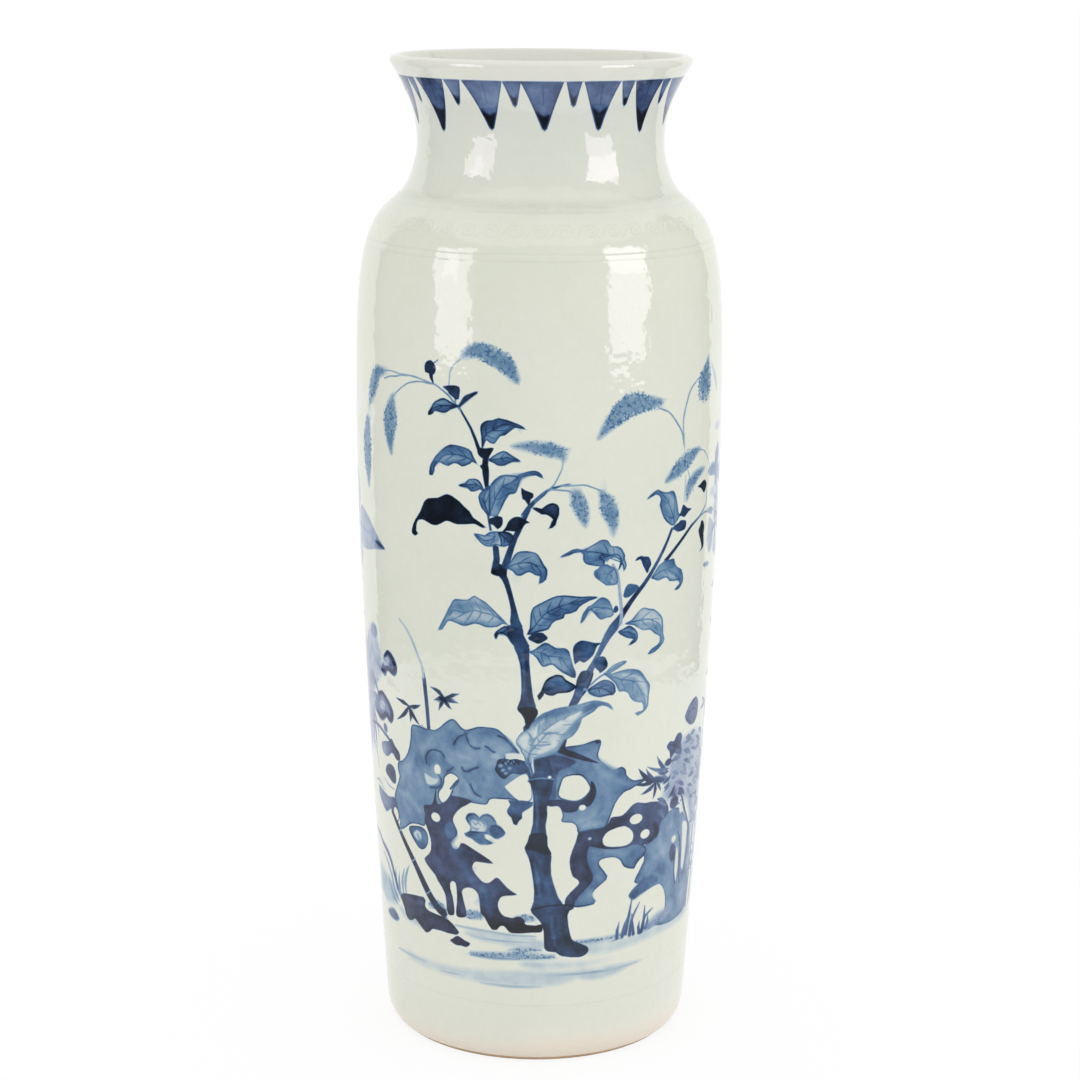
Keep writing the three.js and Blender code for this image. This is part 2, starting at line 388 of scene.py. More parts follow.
# Leaves of both trees: tone, which point is the tip, the stalk's place, and the outline round from it, as
# steps across and up from the stalk
LEAVES = [
    (0.72, 3, (-34, 311), [(0.5, 1.5), (3, 5), (8, 7), (6.5, 5.5), (4.5, 4), (2, 1.5)]),
    (0.73, 6, (-34.5, 311.5), [(-2, 0.5), (-6.5, 2.5), (-11, 0.5), (-12.5, -2), (-14, -4), (-14, -5),
        (-13, -5), (-12, -4.5), (-11, -3), (-7, -3.5), (-5, -3), (-3.5, -1.5)]),
    (0.64, 8, (-23.5, 294), [(0, 4.5), (-0.5, 7.5), (0, 10), (2, 11.5), (4.5, 12), (7, 13), (15, 10.5),
        (17.5, 9), (15, 9.5), (13, 9), (9.5, 6), (7.5, 5.5), (5, 2), (3, 2.5), (2, 3.5), (1, 2.5)]),
    (0.57, 8, (-26, 286.5), [(-1.5, 2.5), (-2.5, 5), (-5, 6.5), (-12, 7), (-17.5, 3), (-21, -2), (-22, -5),
        (-22, -7), (-21, -7), (-20, -5), (-20, -3.5), (-17.5, -0.5), (-15.5, -1.5), (-13, -2), (-10.5, -0.5),
        (-8.5, -0.5), (-6.5, -1.5), (-3, 0), (-2, 1)]),
    (0.62, 3, (-20.5, 288.5), [(6, 4), (9.5, 2), (12.5, 0), (10, 0), (6.5, -2), (3.5, -2), (2, -1)]),
    (0.58, 4, (-23, 274.5), [(-2.5, 4.5), (-6.5, 4.5), (-8, 2.5), (-10.5, 1.5), (-7, 1), (-5.5, -0.5),
        (-3, 0), (-1.5, 1)]),
    (0.54, 9, (-20.5, 263.5), [(0, 5), (0.5, 13), (4, 17.5), (7, 18.5), (12, 18), (13, 19), (18, 20.5),
        (20.5, 20), (22, 18), (19.5, 19), (13.5, 17.5), (11, 11), (8, 10), (3, -0.5), (1.5, 0)]),
    (0.58, 5, (-20.5, 263.5), [(-1.5, 1.5), (-3, 3), (-4.5, 8), (-3.5, 10), (0, 13), (0, 8.5)]),
    (0.99, 9, (-2, 267.5), [(1.5, 0), (3.5, -0.5), (5.5, 1), (8, 2), (10, 1), (10.5, -3), (9.5, -5.5),
        (9, -7.5), (7, -9), (8.5, -6.5), (8.5, -5), (5.5, -2.5), (3.5, -2.5), (2, -1.5)]),
    (0.99, 13, (-22.5, 258), [(-2.5, 2), (-5.5, 4), (-7, 6.5), (-9.5, 8.5), (-11.5, 10.5), (-17, 13),
        (-21.5, 11), (-27, 10), (-29, 8), (-31, 3.5), (-34.5, -1.5), (-36, -6.5), (-34.5, -7.5), (-33, -6.5),
        (-34, -5.5), (-33, -0.5), (-30, 0.5), (-25.5, -1), (-22.5, -1), (-17.5, 1.5), (-12.5, 0.5),
        (-4.5, 1.5), (-2, 0.5)]),
    (0.48, 4, (-19, 256), [(-1.5, -0.5), (-3.5, -2), (-5.5, -1.5), (-8, -1.5), (-7, -3), (-4, -6),
        (-1.5, -6.5), (1, -5.5), (3.5, -6), (4, -3), (2.5, 0)]),
    (0.69, 3, (-16.5, 256), [(4, 0), (6, -1.5), (5, -4.5), (3, -6), (1, -6), (1, -3)]),
    (0.54, 8, (-13.5, 240.2), [(2, 2.3), (5.2, 7), (11.1, 7.3), (13.4, 6.1), (15.7, 1.5), (17.1, -0.7),
        (16.7, -4.9), (14.5, -6.6), (15.3, -4.2), (14.5, -3.2), (12.5, -2.7), (10.5, -1.4), (8.5, -1.7),
        (6.5, -3), (4.5, -3), (3, -1.2), (1.5, -0.4)]),
    (0.54, 13, (35.5, 238), [(1, 4.5), (-1, 7), (-6.5, 6.5), (-8, 7.5), (-9, 6), (-7, 4.5), (-7.5, 2.5),
        (-15, 4), (-16, 6), (-16, 8.5), (-18, 9.5), (-21.5, 9), (-25.5, 7.5), (-25, 8), (-21.5, 10),
        (-19, 10.5), (-16, 10), (-8.5, 14), (-5.5, 13.5), (-4, 11), (-1, 10.5), (1, 9), (2.5, 6), (2.5, 4.5),
        (3.5, 1.5), (2.5, -0.5), (2, 2), (1, 3)]),
    (0.4, 8, (33.5, 238.5), [(-2, 1), (-3.5, 2), (-6, 2), (-7.5, 0.5), (-9, -0.5), (-8.5, -3), (-3.5, -7),
        (-1.5, -7), (1, -7), (1.5, -5)]),
    (0.5, 12, (52.5, 232), [(2, 2.5), (4, 5), (8, 6.5), (11, 6.5), (13, 6.5), (14, 4), (16, 2), (18.5, 0.5),
        (20, -4), (19, -6.5), (17, -8), (15, -8), (17, -7), (18, -5.5), (17.5, -3.5), (16, -3.5), (11, -3),
        (9, -1), (3.5, -1.5), (1.5, -0.5)]),
    (0.5, 7, (33, 219.5), [(-0.5, 2), (-2.5, 5), (-5.5, 6), (-10, 2.5), (-11, 2.5), (-13.5, -1.5),
        (-14, -4.5), (-13, -3.5), (-11, 1), (-9.5, 1), (-5.5, -3.5), (-2.5, -3), (-1, -3), (0.5, -2)]),
    (0.38, 11, (39.5, 212.5), [(3, 1), (7, 5), (9.5, 6), (12, 5), (15.5, 4), (20, -0.5), (21, -7.5),
        (22, -10.5), (21.5, -12), (16.5, -15.5), (13, -16), (15, -14), (18, -13), (20, -11), (20, -9),
        (16, -6.5), (13.5, -4.5), (9, -4), (4.5, -1), (2, -0.5)]),
    (0.58, 6, (36.5, 209), [(2.5, 1), (5, 2), (9, -1), (9.5, -4), (8.5, -5.5), (6, -6.5), (7.5, -5.5),
        (8, -4), (5, -3.5), (1.5, -1.5)]),
    (0.26, 3, (31, 190.5), [(3.5, 3), (8.5, 4.5), (9.5, 4), (7.5, 2.5), (3.5, 0.5), (1.5, -0.5)]),
    (0.58, 5, (23, 183), [(2, 1.5), (7, 4), (11.5, 2), (12.5, -2), (11.5, -3), (9.5, -3), (4.5, -3.5),
        (0.5, -1.5)]),
    (0.36, 10, (30, 190), [(3.5, -0.5), (11.5, 0.5), (18, -1), (22.5, -6.5), (24, -8.5), (23.5, -14),
        (23.5, -17.5), (22, -20), (18, -22), (17, -21), (19.5, -21), (21.5, -19.5), (20.5, -16), (18, -15.5),
        (15.5, -14.5), (13.5, -12.5), (12.5, -10.5), (10, -9), (8, -9), (5.5, -4.5), (1.5, -1)]),
    (0.47, 8, (65, 255), [(-2, 0), (-6.5, 4), (-9, 10), (-8.5, 12.5), (-9.5, 14.5), (-12, 15.5), (-13.5, 15),
        (-16, 14), (-13.5, 16), (-10.5, 17), (-8, 15.5), (-5, 15), (-1.5, 15), (1, 10), (2, 5), (3, 3.5),
        (2, 2)]),
    (0.43, 9, (-13, 214), [(-2, 2), (-9.5, 9.5), (-12.5, 11), (-14.5, 12), (-17.5, 10), (-23, 9.5),
        (-24.5, 8.5), (-31, -3.5), (-32, -5.5), (-30.5, -5), (-27, -0.5), (-19.5, -2), (-15, -0.5),
        (-12.5, -0.5), (-9.5, -1.5), (-4.5, -1), (-2, 0.5)]),
    (0.62, 7, (-4, 210), [(1, 2.5), (2, 11.5), (6.5, 14.5), (13, 17.5), (22, 16.5), (26.5, 16.5), (29.5, 16),
        (26.5, 15), (22, 12.5), (20.5, 10.5), (17.5, 9.5), (15.5, 9.5), (15, 7.5), (12, 6.5), (10, 5),
        (8.5, 2.5), (3.5, 1), (1.5, 0)]),
    (0.54, 8, (-3, 201.5), [(2, 1), (6.5, 4), (11.5, 1.5), (14.5, 1.5), (16.5, 0), (18.5, -7), (19.5, -9.5),
        (19.5, -12), (17, -11), (12.5, -8), (10.5, -6), (8.5, -5.5), (5.5, -6.5), (3, -2.5), (1.5, -1)]),
    (0.82, 8, (17, 185), [(-2, 1.5), (-4.5, 3), (-6, 5), (-9, 5.5), (-13, 3), (-15, -2), (-16.5, -4),
        (-16, -5.5), (-14.5, -3.5), (-14, -2), (-12.5, -3), (-10, -3.5), (-8, -2.5), (-2.5, -2)]),
    (0.34, 15, (-4, 148), [(-1.5, 4.5), (-2.5, 6), (-3.5, 8.5), (-5, 10), (-5, 12), (-2.5, 15.5),
        (0.5, 17.5), (2, 20), (6.5, 24.5), (9.5, 25.5), (13, 27), (22, 28), (29.5, 29.5), (36.5, 27.5),
        (38.5, 25), (36.5, 26.5), (34, 27.5), (31.5, 27), (29.5, 25), (24, 22), (23.5, 19.5), (21.5, 15.5),
        (19.5, 13.5), (16.5, 12), (12, 6), (5, 4), (2.5, 2.5)]),
    (0.71, 4, (-12.5, 212.5), [(-1.5, 0.5), (-5, -2), (-6, -4), (-5.5, -5), (-4.5, -3), (-2.5, -2.5),
        (-0.5, -4)]),
]
# Buds and small dark leaves: tone, place, and the outline round from it in the same way
BUDS = [
    (0.88, (-46, 320), [(-2, 2.5), (-2.5, 4.5), (-4.5, 5), (-4.5, 9), (-1.5, 10.5), (1, 7.5), (0.5, 5),
        (-0.5, 4)]),
    (0.82, (-35.5, 314), [(-1, 1), (-3, 2.5), (-3.5, 3.5), (-6, 5.5), (1.5, 6), (1.5, 0.5)]),
    (0.86, (-4, 268.5), [(-1.5, 2.5), (-2.5, 3), (-3, 8), (-1.5, 7), (2, 5.5), (2, 4), (1, 3)]),
    (0.9, (-17, 257.5), [(-1.5, 1.5), (-3.5, 2.5), (-3.5, 4.5), (0.5, 6), (2, 5.5), (2, 2)]),
    (0.92, (-15, 256.5), [(1.5, 2), (2.5, 4.5), (4.5, 6.5), (7, 7), (11.5, 4.5), (10, 4), (6.5, 0.5),
        (2, 0.5)]),
    (0.8, (50, 234.5), [(-2.5, 4), (-4, 7), (-6.5, 6.5), (-5.5, 8), (-3.5, 8.5), (-2, 8), (0.5, 7.5), (2, 4),
        (1, 2)]),
    (0.65, (46, 228.5), [(-0.5, -0.5), (-4.5, -3.5), (-6.5, -4), (-8, -3), (-6, 2), (-1.5, 1.5)]),
    (0.79, (34.5, 218), [(-1, 0.5), (-1, 2), (0, 3.5), (1, 3), (1.5, 1.5), (1, 0.5)]),
    (0.8, (28.5, 204.5), [(-2, -1), (-4, -5.5), (-8, -8.5), (-10, -7.5), (-12, -9), (-13, -2), (-12, 0.5),
        (-9, 2), (-3.5, 0.5)]),
    (0.74, (28, 190.5), [(-0.5, 1), (-2.5, 3), (-3, 5), (-1.5, 7.5), (2, 7.5), (3.5, 3)]),
    (0.78, (19, 186.5), [(-1, 2), (0.5, 5.5), (4, 5.5), (4.5, 3.5), (3.5, 2), (2.5, 0.5)]),
    (0.95, (84, 248.5), [(1.5, 2), (2.5, 4), (4.5, 3.5), (6, 0.5), (5.5, -2.5), (6, -8.5), (2, -10.5),
        (4, -8.5)]),
    (0.83, (67.5, 258), [(1.5, 2), (3, 5), (6, 3), (9.5, 2), (7, 1), (4, -1), (2, 0)]),
    (0.79, (63.5, 253), [(2, 1.5), (4, 2), (5.5, 3), (9.5, 2), (9, -1.5), (4, -2), (2, -1)]),
    (0.95, (81.5, 269.5), [(2, 0.5), (6, 2), (8, 1), (9, -1), (6.5, -4), (3.5, -1.5)]),
    (0.83, (-4, 208), [(3.5, 2.5), (6.5, 2.5), (7.5, 1.5), (8.5, 0), (6, -2), (4, -2.5)]),
]
# Thin stems and stalks: tone, widths along the line, where it starts, and the line's steps from there
STALKS = [
    (0.9, [1.6, 1.2, 1, 0.8], (-25, 293), [(-2, 5.5), (-4, 10), (-6.5, 14), (-8.5, 17.5)]),
    (0.5, [1, 0.9, 0.8, 0.6], (-33.5, 310), [(-2, 2), (-5, 5.5), (-8.5, 8), (-12, 10), (-14.5, 10.5)]),
    (0.42, [0.7, 0.8, 0.8, 0.7, 0.6], (-46.5, 320), [(-5.5, 1.5), (-11.5, 2.5), (-17.5, 2), (-21.5, 1),
        (-25.5, 0.5), (-29.5, -1)]),
    (0.36, [0.6, 0.7, 0.7, 0.5], (-52, 321.5), [(-8, 1), (-14, 1), (-19, 1.5), (-24, 1)]),
    (0.42, [0.6, 0.7, 0.7, 0.6], (-48, 320), [(-4, 0.5), (-8.5, 0), (-13, -1.5), (-18, -5), (-22, -8.5)]),
    (0.28, [0.5, 0.6, 0.7, 0.5], (-39, 316.5), [(0.5, 5.5), (1, 10), (3, 13.5), (5.5, 15.5)]),
    (0.2, [0.4, 0.5], (-90.5, 304.5), [(-1, -3.5), (-1.5, -7)]),
    (0.6, [0.8, 0.8], (-35.5, 312), [(0, 2.5)]),
    (0.7, [0.7, 0.3], (-46, 329.5), [(2, 1.5)]),
    (0.8, [2.4, 1.8, 1.4], (-6, 264), [(2, 3.5), (5, 7), (8.5, 10)]),
    (0.62, [1.6, 1.2, 1, 0.8], (-1.5, 270.5), [(4, 4), (7.5, 6), (11, 7), (14, 7.5)]),
    (0.3, [0.9, 0.8, 0.7, 0.5], (9.5, 277.5), [(5, 0), (10, 0), (14, -1.5), (17, -3)]),
    (0.3, [0.9, 0.8, 0.6], (5, 276), [(4.5, -0.5), (8, -1), (10.5, -2.5)]),
    (0.34, [0.5, 0.6, 0.6], (10, 290.5), [(0, -4.5), (-1.5, -8.5), (-3.5, -12.5), (-6, -15)]),
    (0.42, [0.6, 0.8, 0.9, 0.9], (54.5, 309), [(5.5, -2.5), (10.5, -8), (14, -13), (15.5, -19.5)]),
    (0.34, [0.6, 0.9, 1.1, 1, 0.8], (79.5, 319), [(-5.5, -4), (-8.5, -10), (-10.5, -17), (-10, -25),
        (-9.5, -29.5)]),
    (0.32, [0.5, 0.7, 0.6, 0.5], (81, 286.5), [(5, -1), (9, -4.5), (12, -9), (14, -14.5)]),
    (0.3, [0.6, 0.7, 0.8], (70, 289.5), [(1, -5.5), (4, -13.5), (8, -21.5)]),
    (0.45, [0.8, 0.9, 0.8], (23.5, 185), [(4, 3.5), (8, 5.5)]),
    (0.4, [1.2, 1], (21, 183.5), [(2, -0.5)]),
]
# Hanging flower spikes, dabbed with a dry brush tip: the same without a tone
SPIKES = [
    ([3.5, 7.5, 8.5, 7.5, 2.5], (-32, 334), [(6, 2.5), (12.5, 0.5), (18.5, -3.5), (23, -10.5)]),
    ([5.5, 7, 5.5, 4.5, 0.5], (9.5, 292), [(-4.5, 1.5), (-9.5, 2.5), (-15, 3), (-20.5, 3)]),
    ([5, 7.5, 6, 1.5], (15.5, 274), [(1.5, -4.5), (3.5, -10), (4.5, -15)]),
    ([3, 8, 8, 5, 1.5], (27, 273.5), [(2, -4), (4, -9.5), (5.5, -15), (5.5, -19.5)]),
    ([3.5, 7.5, 7.5, 2.5], (-77.5, 322), [(-4.5, -1), (-8.5, -8), (-12, -16.5)]),
    ([2.5, 8.5, 9.5, 6, 1], (-70, 312), [(-1, -5), (-2, -13), (-2, -20), (-1, -26.5)]),
    ([5, 9, 9, 7, 1.5], (-92, 297.5), [(-1, -7.5), (-1, -15.5), (-0.5, -23.5), (0, -30.5)]),
    ([3.5, 7.5, 10.5, 9, 6, 1], (55, 311.5), [(-7, 0.5), (-15, 0.5), (-21, -3.5), (-26, -8.5),
        (-30, -13.5)]),
    ([0.5, 6, 10, 12.5, 11], (89.5, 328), [(-0.7, -4), (-2.1, -8), (-3.1, -11.5), (-3.7, -14.5)]),
    ([1.5, 6.5, 8, 7, 1.5], (82, 287), [(-6, -2), (-12, -5), (-17.5, -8), (-23, -11.5)]),
    ([1.5, 4.5, 6, 6, 2], (87, 277), [(-4, -1), (-8.5, -3), (-12, -6), (-14, -11.5)]),
    ([2, 6, 8, 5, 1.5], (96, 277), [(4, -2), (9, -4), (14, -7), (18, -11)]),
]


# Garden rocks, banks and trunks: outlines
LEFT_ROCK = [(-63.5, 158.5), (-62, 160), (-49, 160), (-41, 166), (-38.5, 166.7), (-34.5, 163), (-32, 162.5),
    (-27, 164.5), (-22, 165), (-17, 164), (-8, 154), (-11, 153.5), (-14.5, 151), (-12, 146), (-4, 144.5),
    (-2.2, 132.5), (-4, 130.8), (-9.5, 131.5), (-20, 131.5), (-22, 130.5), (-23, 128.5), (-25.5, 128),
    (-33, 128), (-46, 122), (-55, 119), (-57, 117), (-57, 113.5), (-58, 112), (-62, 112), (-67, 111),
    (-75, 106), (-76, 108), (-75.5, 110.5), (-77, 113), (-78, 117), (-79.5, 121), (-74, 132), (-75, 135),
    (-75, 138), (-74, 139.3), (-71, 140.5), (-66.5, 145.5), (-64.3, 152)]
LEFT_ROCK_EYE = [(-14.5, 137.5), (-5, 143.8), (-2.5, 138), (-2.2, 132.5), (-4, 130.8), (-8, 131),
    (-14, 136.5)]
LEFT_ROCK_GAP = [(-41, 141), (-36.8, 139), (-37.5, 136.5), (-39.8, 133.8), (-41.8, 129), (-45.5, 125.5),
    (-47.3, 126.3), (-48.3, 128.5), (-47.8, 131), (-46, 133), (-45, 135.5), (-44.5, 138.5)]
LEFT_ROCK_FOLDS = [[(-54.5, 143), (-54.8, 146), (-53, 149), (-50, 150.5), (-46, 150), (-44, 148)],
    [(-38.8, 155), (-37.5, 157.5), (-35.5, 159.5), (-33, 160.5), (-31.5, 161.5)],
    [(-33, 161.5), (-32, 158.5), (-31, 156), (-28.5, 154.5), (-26, 154.8)],
    [(-23.5, 156), (-22, 155.5), (-20.5, 154), (-19, 153.5)], [(-35, 144.5), (-34, 143), (-31.5, 143.2),
    (-29.5, 144.5), (-27, 145.5)], [(-17.5, 161.5), (-14.5, 160.5), (-11, 157), (-8.5, 154)],
    [(-43, 141.5), (-41, 142.5), (-39.5, 143.8)], [(-31, 137), (-29, 133), (-26, 131.5)]]
LEFT_ROCK_SHADE = [(-57.5, 122), (-53, 123.2), (-51.5, 125), (-49.5, 132), (-49, 124.5), (-43.5, 127.5),
    (-41.5, 130), (-30.5, 128.8), (-37, 124), (-40.5, 118.5), (-38.5, 113.5), (-38.5, 111), (-41, 108.5),
    (-42, 106.5), (-41, 104.5), (-39, 104), (-37.5, 105.5), (-36.5, 107.5), (-34, 107.3), (-20.5, 99.8),
    (-29, 99.5), (-30.5, 98), (-30.8, 95.5), (-26.5, 90.5), (-24, 89.6), (-22, 90.2), (-18.5, 92.8),
    (-14, 88.5), (-11, 86.3), (-9, 85), (-16.5, 83.5), (-18.3, 79), (-16, 74.5), (-11, 73.4), (-9, 74.3),
    (-6.5, 73.8), (-5.3, 72.3), (-5, 70.5), (0, 70), (3, 70.5), (3, 67), (-2, 66.5), (-12, 66),
    (-15.5, 69.2), (-17.5, 68.8), (-19, 67), (-21, 66.7), (-22.8, 68.5), (-25, 72.5), (-27, 74.5),
    (-27.6, 81), (-28.5, 84), (-30.5, 85.8), (-33.5, 86.2), (-36, 85), (-36.8, 83), (-34.7, 72), (-40, 71),
    (-39.5, 80), (-40, 87), (-41.5, 88), (-43, 87), (-43.3, 84), (-42, 80), (-41.5, 71.5), (-45, 71),
    (-46.2, 80), (-48, 83.5), (-50.5, 86.5), (-52, 89), (-57, 93), (-58.5, 95.5), (-55.5, 98.5), (-54, 101),
    (-54, 106.5), (-57, 114), (-57, 118)]
LEFT_ROCK_LOBE = [(-44, 109), (-41.5, 109), (-39.5, 111.5), (-40, 115), (-42, 117), (-44.5, 115.5),
    (-45, 112)]
LEFT_ROCK_CURL = [(-63, 101), (-60, 100), (-57.5, 101.5), (-55.8, 104.5), (-56, 107.5), (-58, 110),
    (-62, 110.5), (-68.5, 108)]
HANGING_KNOB = [(-13, 131), (-12, 129), (-13.5, 126), (-13, 124), (-11.5, 122.5), (-10.5, 119.5), (-9, 119),
    (-8, 121), (-6.5, 122.5), (-6.5, 125), (-2, 128.5), (-1.5, 130.5)]
PEONY = [(-33.4, 120), (-32.2, 122), (-29.2, 122.9), (-27.2, 121.6), (-26.7, 120.6), (-25.1, 122.7),
    (-22.6, 123.3), (-20.1, 122), (-17.8, 118.2), (-14.4, 114.9), (-17.6, 111.8), (-19.7, 111.8),
    (-21.3, 113), (-24.2, 113.5), (-24.2, 111.8), (-20.9, 109.6), (-25.9, 108.1), (-28.8, 109),
    (-30.9, 110.6), (-34.2, 111.4), (-34.6, 112.6), (-32.6, 113.5), (-31.3, 115.7)]
RIGHT_ROCK = [(-2.5, 141), (0, 146), (1.5, 149.5), (12, 156), (20, 157), (29, 158.5), (28, 151.5),
    (29.5, 148.5), (32.5, 146), (34.5, 143.8), (37, 143.5), (40.5, 144.2), (42.5, 142.5), (43, 140),
    (47.5, 136.5), (55, 136), (50, 134.5), (46, 133), (42, 132), (37.5, 127), (34, 118), (32, 116),
    (25, 116), (20, 115), (19.5, 117), (18.5, 119), (16.5, 120.3), (12, 121), (12.5, 124), (10.5, 128.3),
    (5.5, 129)]
RIGHT_ROCK_CAP = [(-2, 141), (0, 146), (1.5, 149.5), (4.5, 152), (9, 153), (18, 149.5), (15, 147),
    (10, 145), (9, 136), (9, 132), (4, 130), (1, 132)]
ROUND_EYE = [(10.3, 133), (17, 130.3), (21, 131), (24.5, 134), (25, 137), (20.5, 142.8), (13, 142.5),
    (11, 139.5)]
EYE_SHADE = [(4, 131), (11, 131.5), (17, 130), (21, 130.5), (25, 134), (25.3, 139.5), (27.2, 137.5),
    (28, 133), (25, 127.5), (20, 127.5), (19, 125.5), (14, 125), (12, 126), (10.5, 128.3), (5, 129)]
ARCH = [(14, 80.5), (15, 84), (20.8, 90), (20, 92), (17.5, 94), (16, 102), (19, 111.5), (20, 115),
    (23, 116.3), (32.5, 116), (35, 118.5), (36, 120.5), (42, 120.7), (47.5, 124.8), (50.5, 125.5),
    (55, 124.3), (60, 124), (70, 121), (72, 116), (66, 112), (62, 105), (55, 103.5), (50, 105), (44, 104.5),
    (36, 105), (30, 106.5), (25, 107.5), (24.5, 100), (27.5, 92.5), (26, 89), (22, 85), (19, 81),
    (18.5, 78), (16, 77)]
ARCH_EYE = [(32, 110.5), (33.5, 107), (44, 105.5), (48, 107), (48.8, 110), (47, 113), (43, 115.3), (35, 114)]
ARCH_FOOT = [(25, 107.5), (24.5, 100), (27.5, 92.5), (26, 89), (19, 82), (18.5, 79), (28.5, 79.2),
    (29.3, 80.5), (28, 82), (27.3, 84), (29, 86.5), (34.5, 90.5), (34.8, 92), (31, 97), (30.2, 99.5),
    (32, 101), (37, 101.3), (40, 100.5), (42.5, 98.5), (44.5, 95.5), (50, 93.5), (51, 95), (53, 97),
    (55.5, 98.5), (57, 101), (55, 103.5), (50, 106), (44, 105), (36, 105.5), (32, 107.8)]
FAR_ROCK = [(48, 80), (50, 82.5), (54, 85), (51, 86.5), (56.5, 96), (55.5, 101), (57, 103.5), (61, 105),
    (65, 110), (67, 114), (76, 116.5), (82, 115), (90, 108), (97, 100), (100, 80), (98, 62), (90, 59.5),
    (75, 59.5), (66, 62), (72, 64.5), (74.5, 68), (74, 74), (71, 79.5), (67, 81.8), (55, 79.5), (51, 78)]
LEFT_BANK = [(-79, 71.5), (-75, 73.5), (-60.5, 75.5), (-59.5, 74.5), (-59.8, 71.5), (-57, 69.5), (-46, 68),
    (-39.5, 63), (-41, 61.8), (-55, 61.7), (-57.5, 59.8), (-60, 58.8), (-67.5, 63.8), (-70, 62.3),
    (-73, 61.8), (-75, 63.5), (-76.5, 67)]
ISLAND = [(-44.5, 58), (-43, 59), (-40, 61), (-36, 59.5), (-33, 58.3), (-35, 56.3), (-38, 56.5), (-41, 56.3)]
FAR_BANK = [(-97, 58.5), (-89, 62.3), (-85, 61), (-82.5, 59), (-85, 57), (-90, 56.5), (-94, 57)]
TRUNK_FOOT = [(-2, 77.5), (2.5, 71.5), (4, 67), (4.5, 58.5), (6.5, 57), (10, 56.5), (13, 54.5), (22, 53.3),
    (25.5, 54.5), (26.7, 56.5), (25.5, 58.5), (18.5, 62), (17, 65), (15.5, 74), (16.5, 77), (18.5, 79),
    (13, 80)]
TRUNK_LOW = [(-2, 77.5), (-1, 82), (-0.8, 88), (-3, 102), (-5, 107.5), (0, 107), (3, 105), (7, 105),
    (7, 100), (7.5, 94), (11, 83.5), (13, 80), (5, 79.3)]
TRUNK_NODE = [(-5.3, 107.5), (-4, 111), (-2.5, 115), (4.6, 115), (5.5, 109), (7.2, 105), (3, 105), (0, 107)]
TRUNK_MIDDLE = [(-2.3, 114.5), (-1.5, 120), (-1.5, 134), (-2.5, 139), (-4, 140.5), (2, 141.8), (8, 141),
    (7.8, 140), (6.5, 133), (4.8, 128), (5.3, 124), (4.3, 119), (4.6, 113)]
TRUNK_BEHIND_LEAF = [(-3, 141), (7, 141), (6, 150), (0, 160), (-3, 168), (-6, 166), (-4, 155)]
KNOT_LOW = [(-8.6, 174.5), (-6.8, 172.3), (-5.5, 170), (-4.3, 165.3), (0.5, 172.7), (-0.5, 175.5), (-4, 176)]
TRUNK_HIGH = [(-8.6, 174.5), (-7.3, 179), (-6.8, 183.6), (-7.3, 194.5), (-8.6, 200), (-10, 204),
    (-3.6, 203.6), (-3.5, 198), (-1.8, 181), (-0.5, 175.5), (-4, 175)]
KNOT_HIGH = [(-14, 212.3), (-10, 204), (-3.6, 203.2), (-3.4, 204.5), (-5.9, 209.5), (-6.4, 212.7),
    (-9, 214.5)]
TRUNK_TOP = [(-19.5, 240), (-14.7, 233.6), (-11.4, 221), (-11.4, 214), (-6.4, 212.7), (-7.7, 216.4),
    (-12.3, 234.5), (-13.2, 236.8), (-13.2, 240)]
FORK = [(-19.7, 237), (-19.6, 240), (-18.5, 241.5), (-16, 241.7), (-13.7, 240.8), (-13, 238.5), (-13.5, 236)]
LEADER_KNOT = [(-24.6, 285.8), (-21, 285.8), (-20.5, 284), (-21, 276.3), (-21.9, 276), (-22.5, 280.4),
    (-23.3, 283.5)]
CROWN_KNOT = [(-25.5, 293.5), (-22.4, 293.5), (-18.7, 293.8), (-20.5, 289.9), (-20.8, 288.5),
    (-21.9, 288.1), (-25.1, 290.4)]
TREE_WEDGE = [(10, 160.5), (13.5, 161), (13, 157.5), (13.4, 155.6), (17, 154.2), (29, 147.6), (9.8, 154),
    (10.4, 157)]
CONE = [(-18.5, 147), (-17.5, 150), (-14.5, 151), (-12, 150.5), (-9, 151), (-3.5, 149), (-3, 146.5),
    (-4.5, 144.5), (-7.5, 143.5), (-11, 143.8), (-15, 141), (-19, 145)]
TREE_FOOT = [(14, 175.5), (16.4, 182), (18.2, 190), (22, 192), (25, 191), (22.7, 183.6), (20, 180),
    (17.7, 176.4)]


# A leaf under the first tone is pale and has a strong edge. One over the second is too dark to show veins.
PALE_LEAF = 0.45
DARK_LEAF = 0.8
EDGE_DARKER = 0.2
VEIN_DARKER = 0.17
VEIN_SPACING = 4.5


def from_start(place, steps):
    """Points given as steps across and up from the first of them."""
    return np.array([(0, 0), *steps]) + place


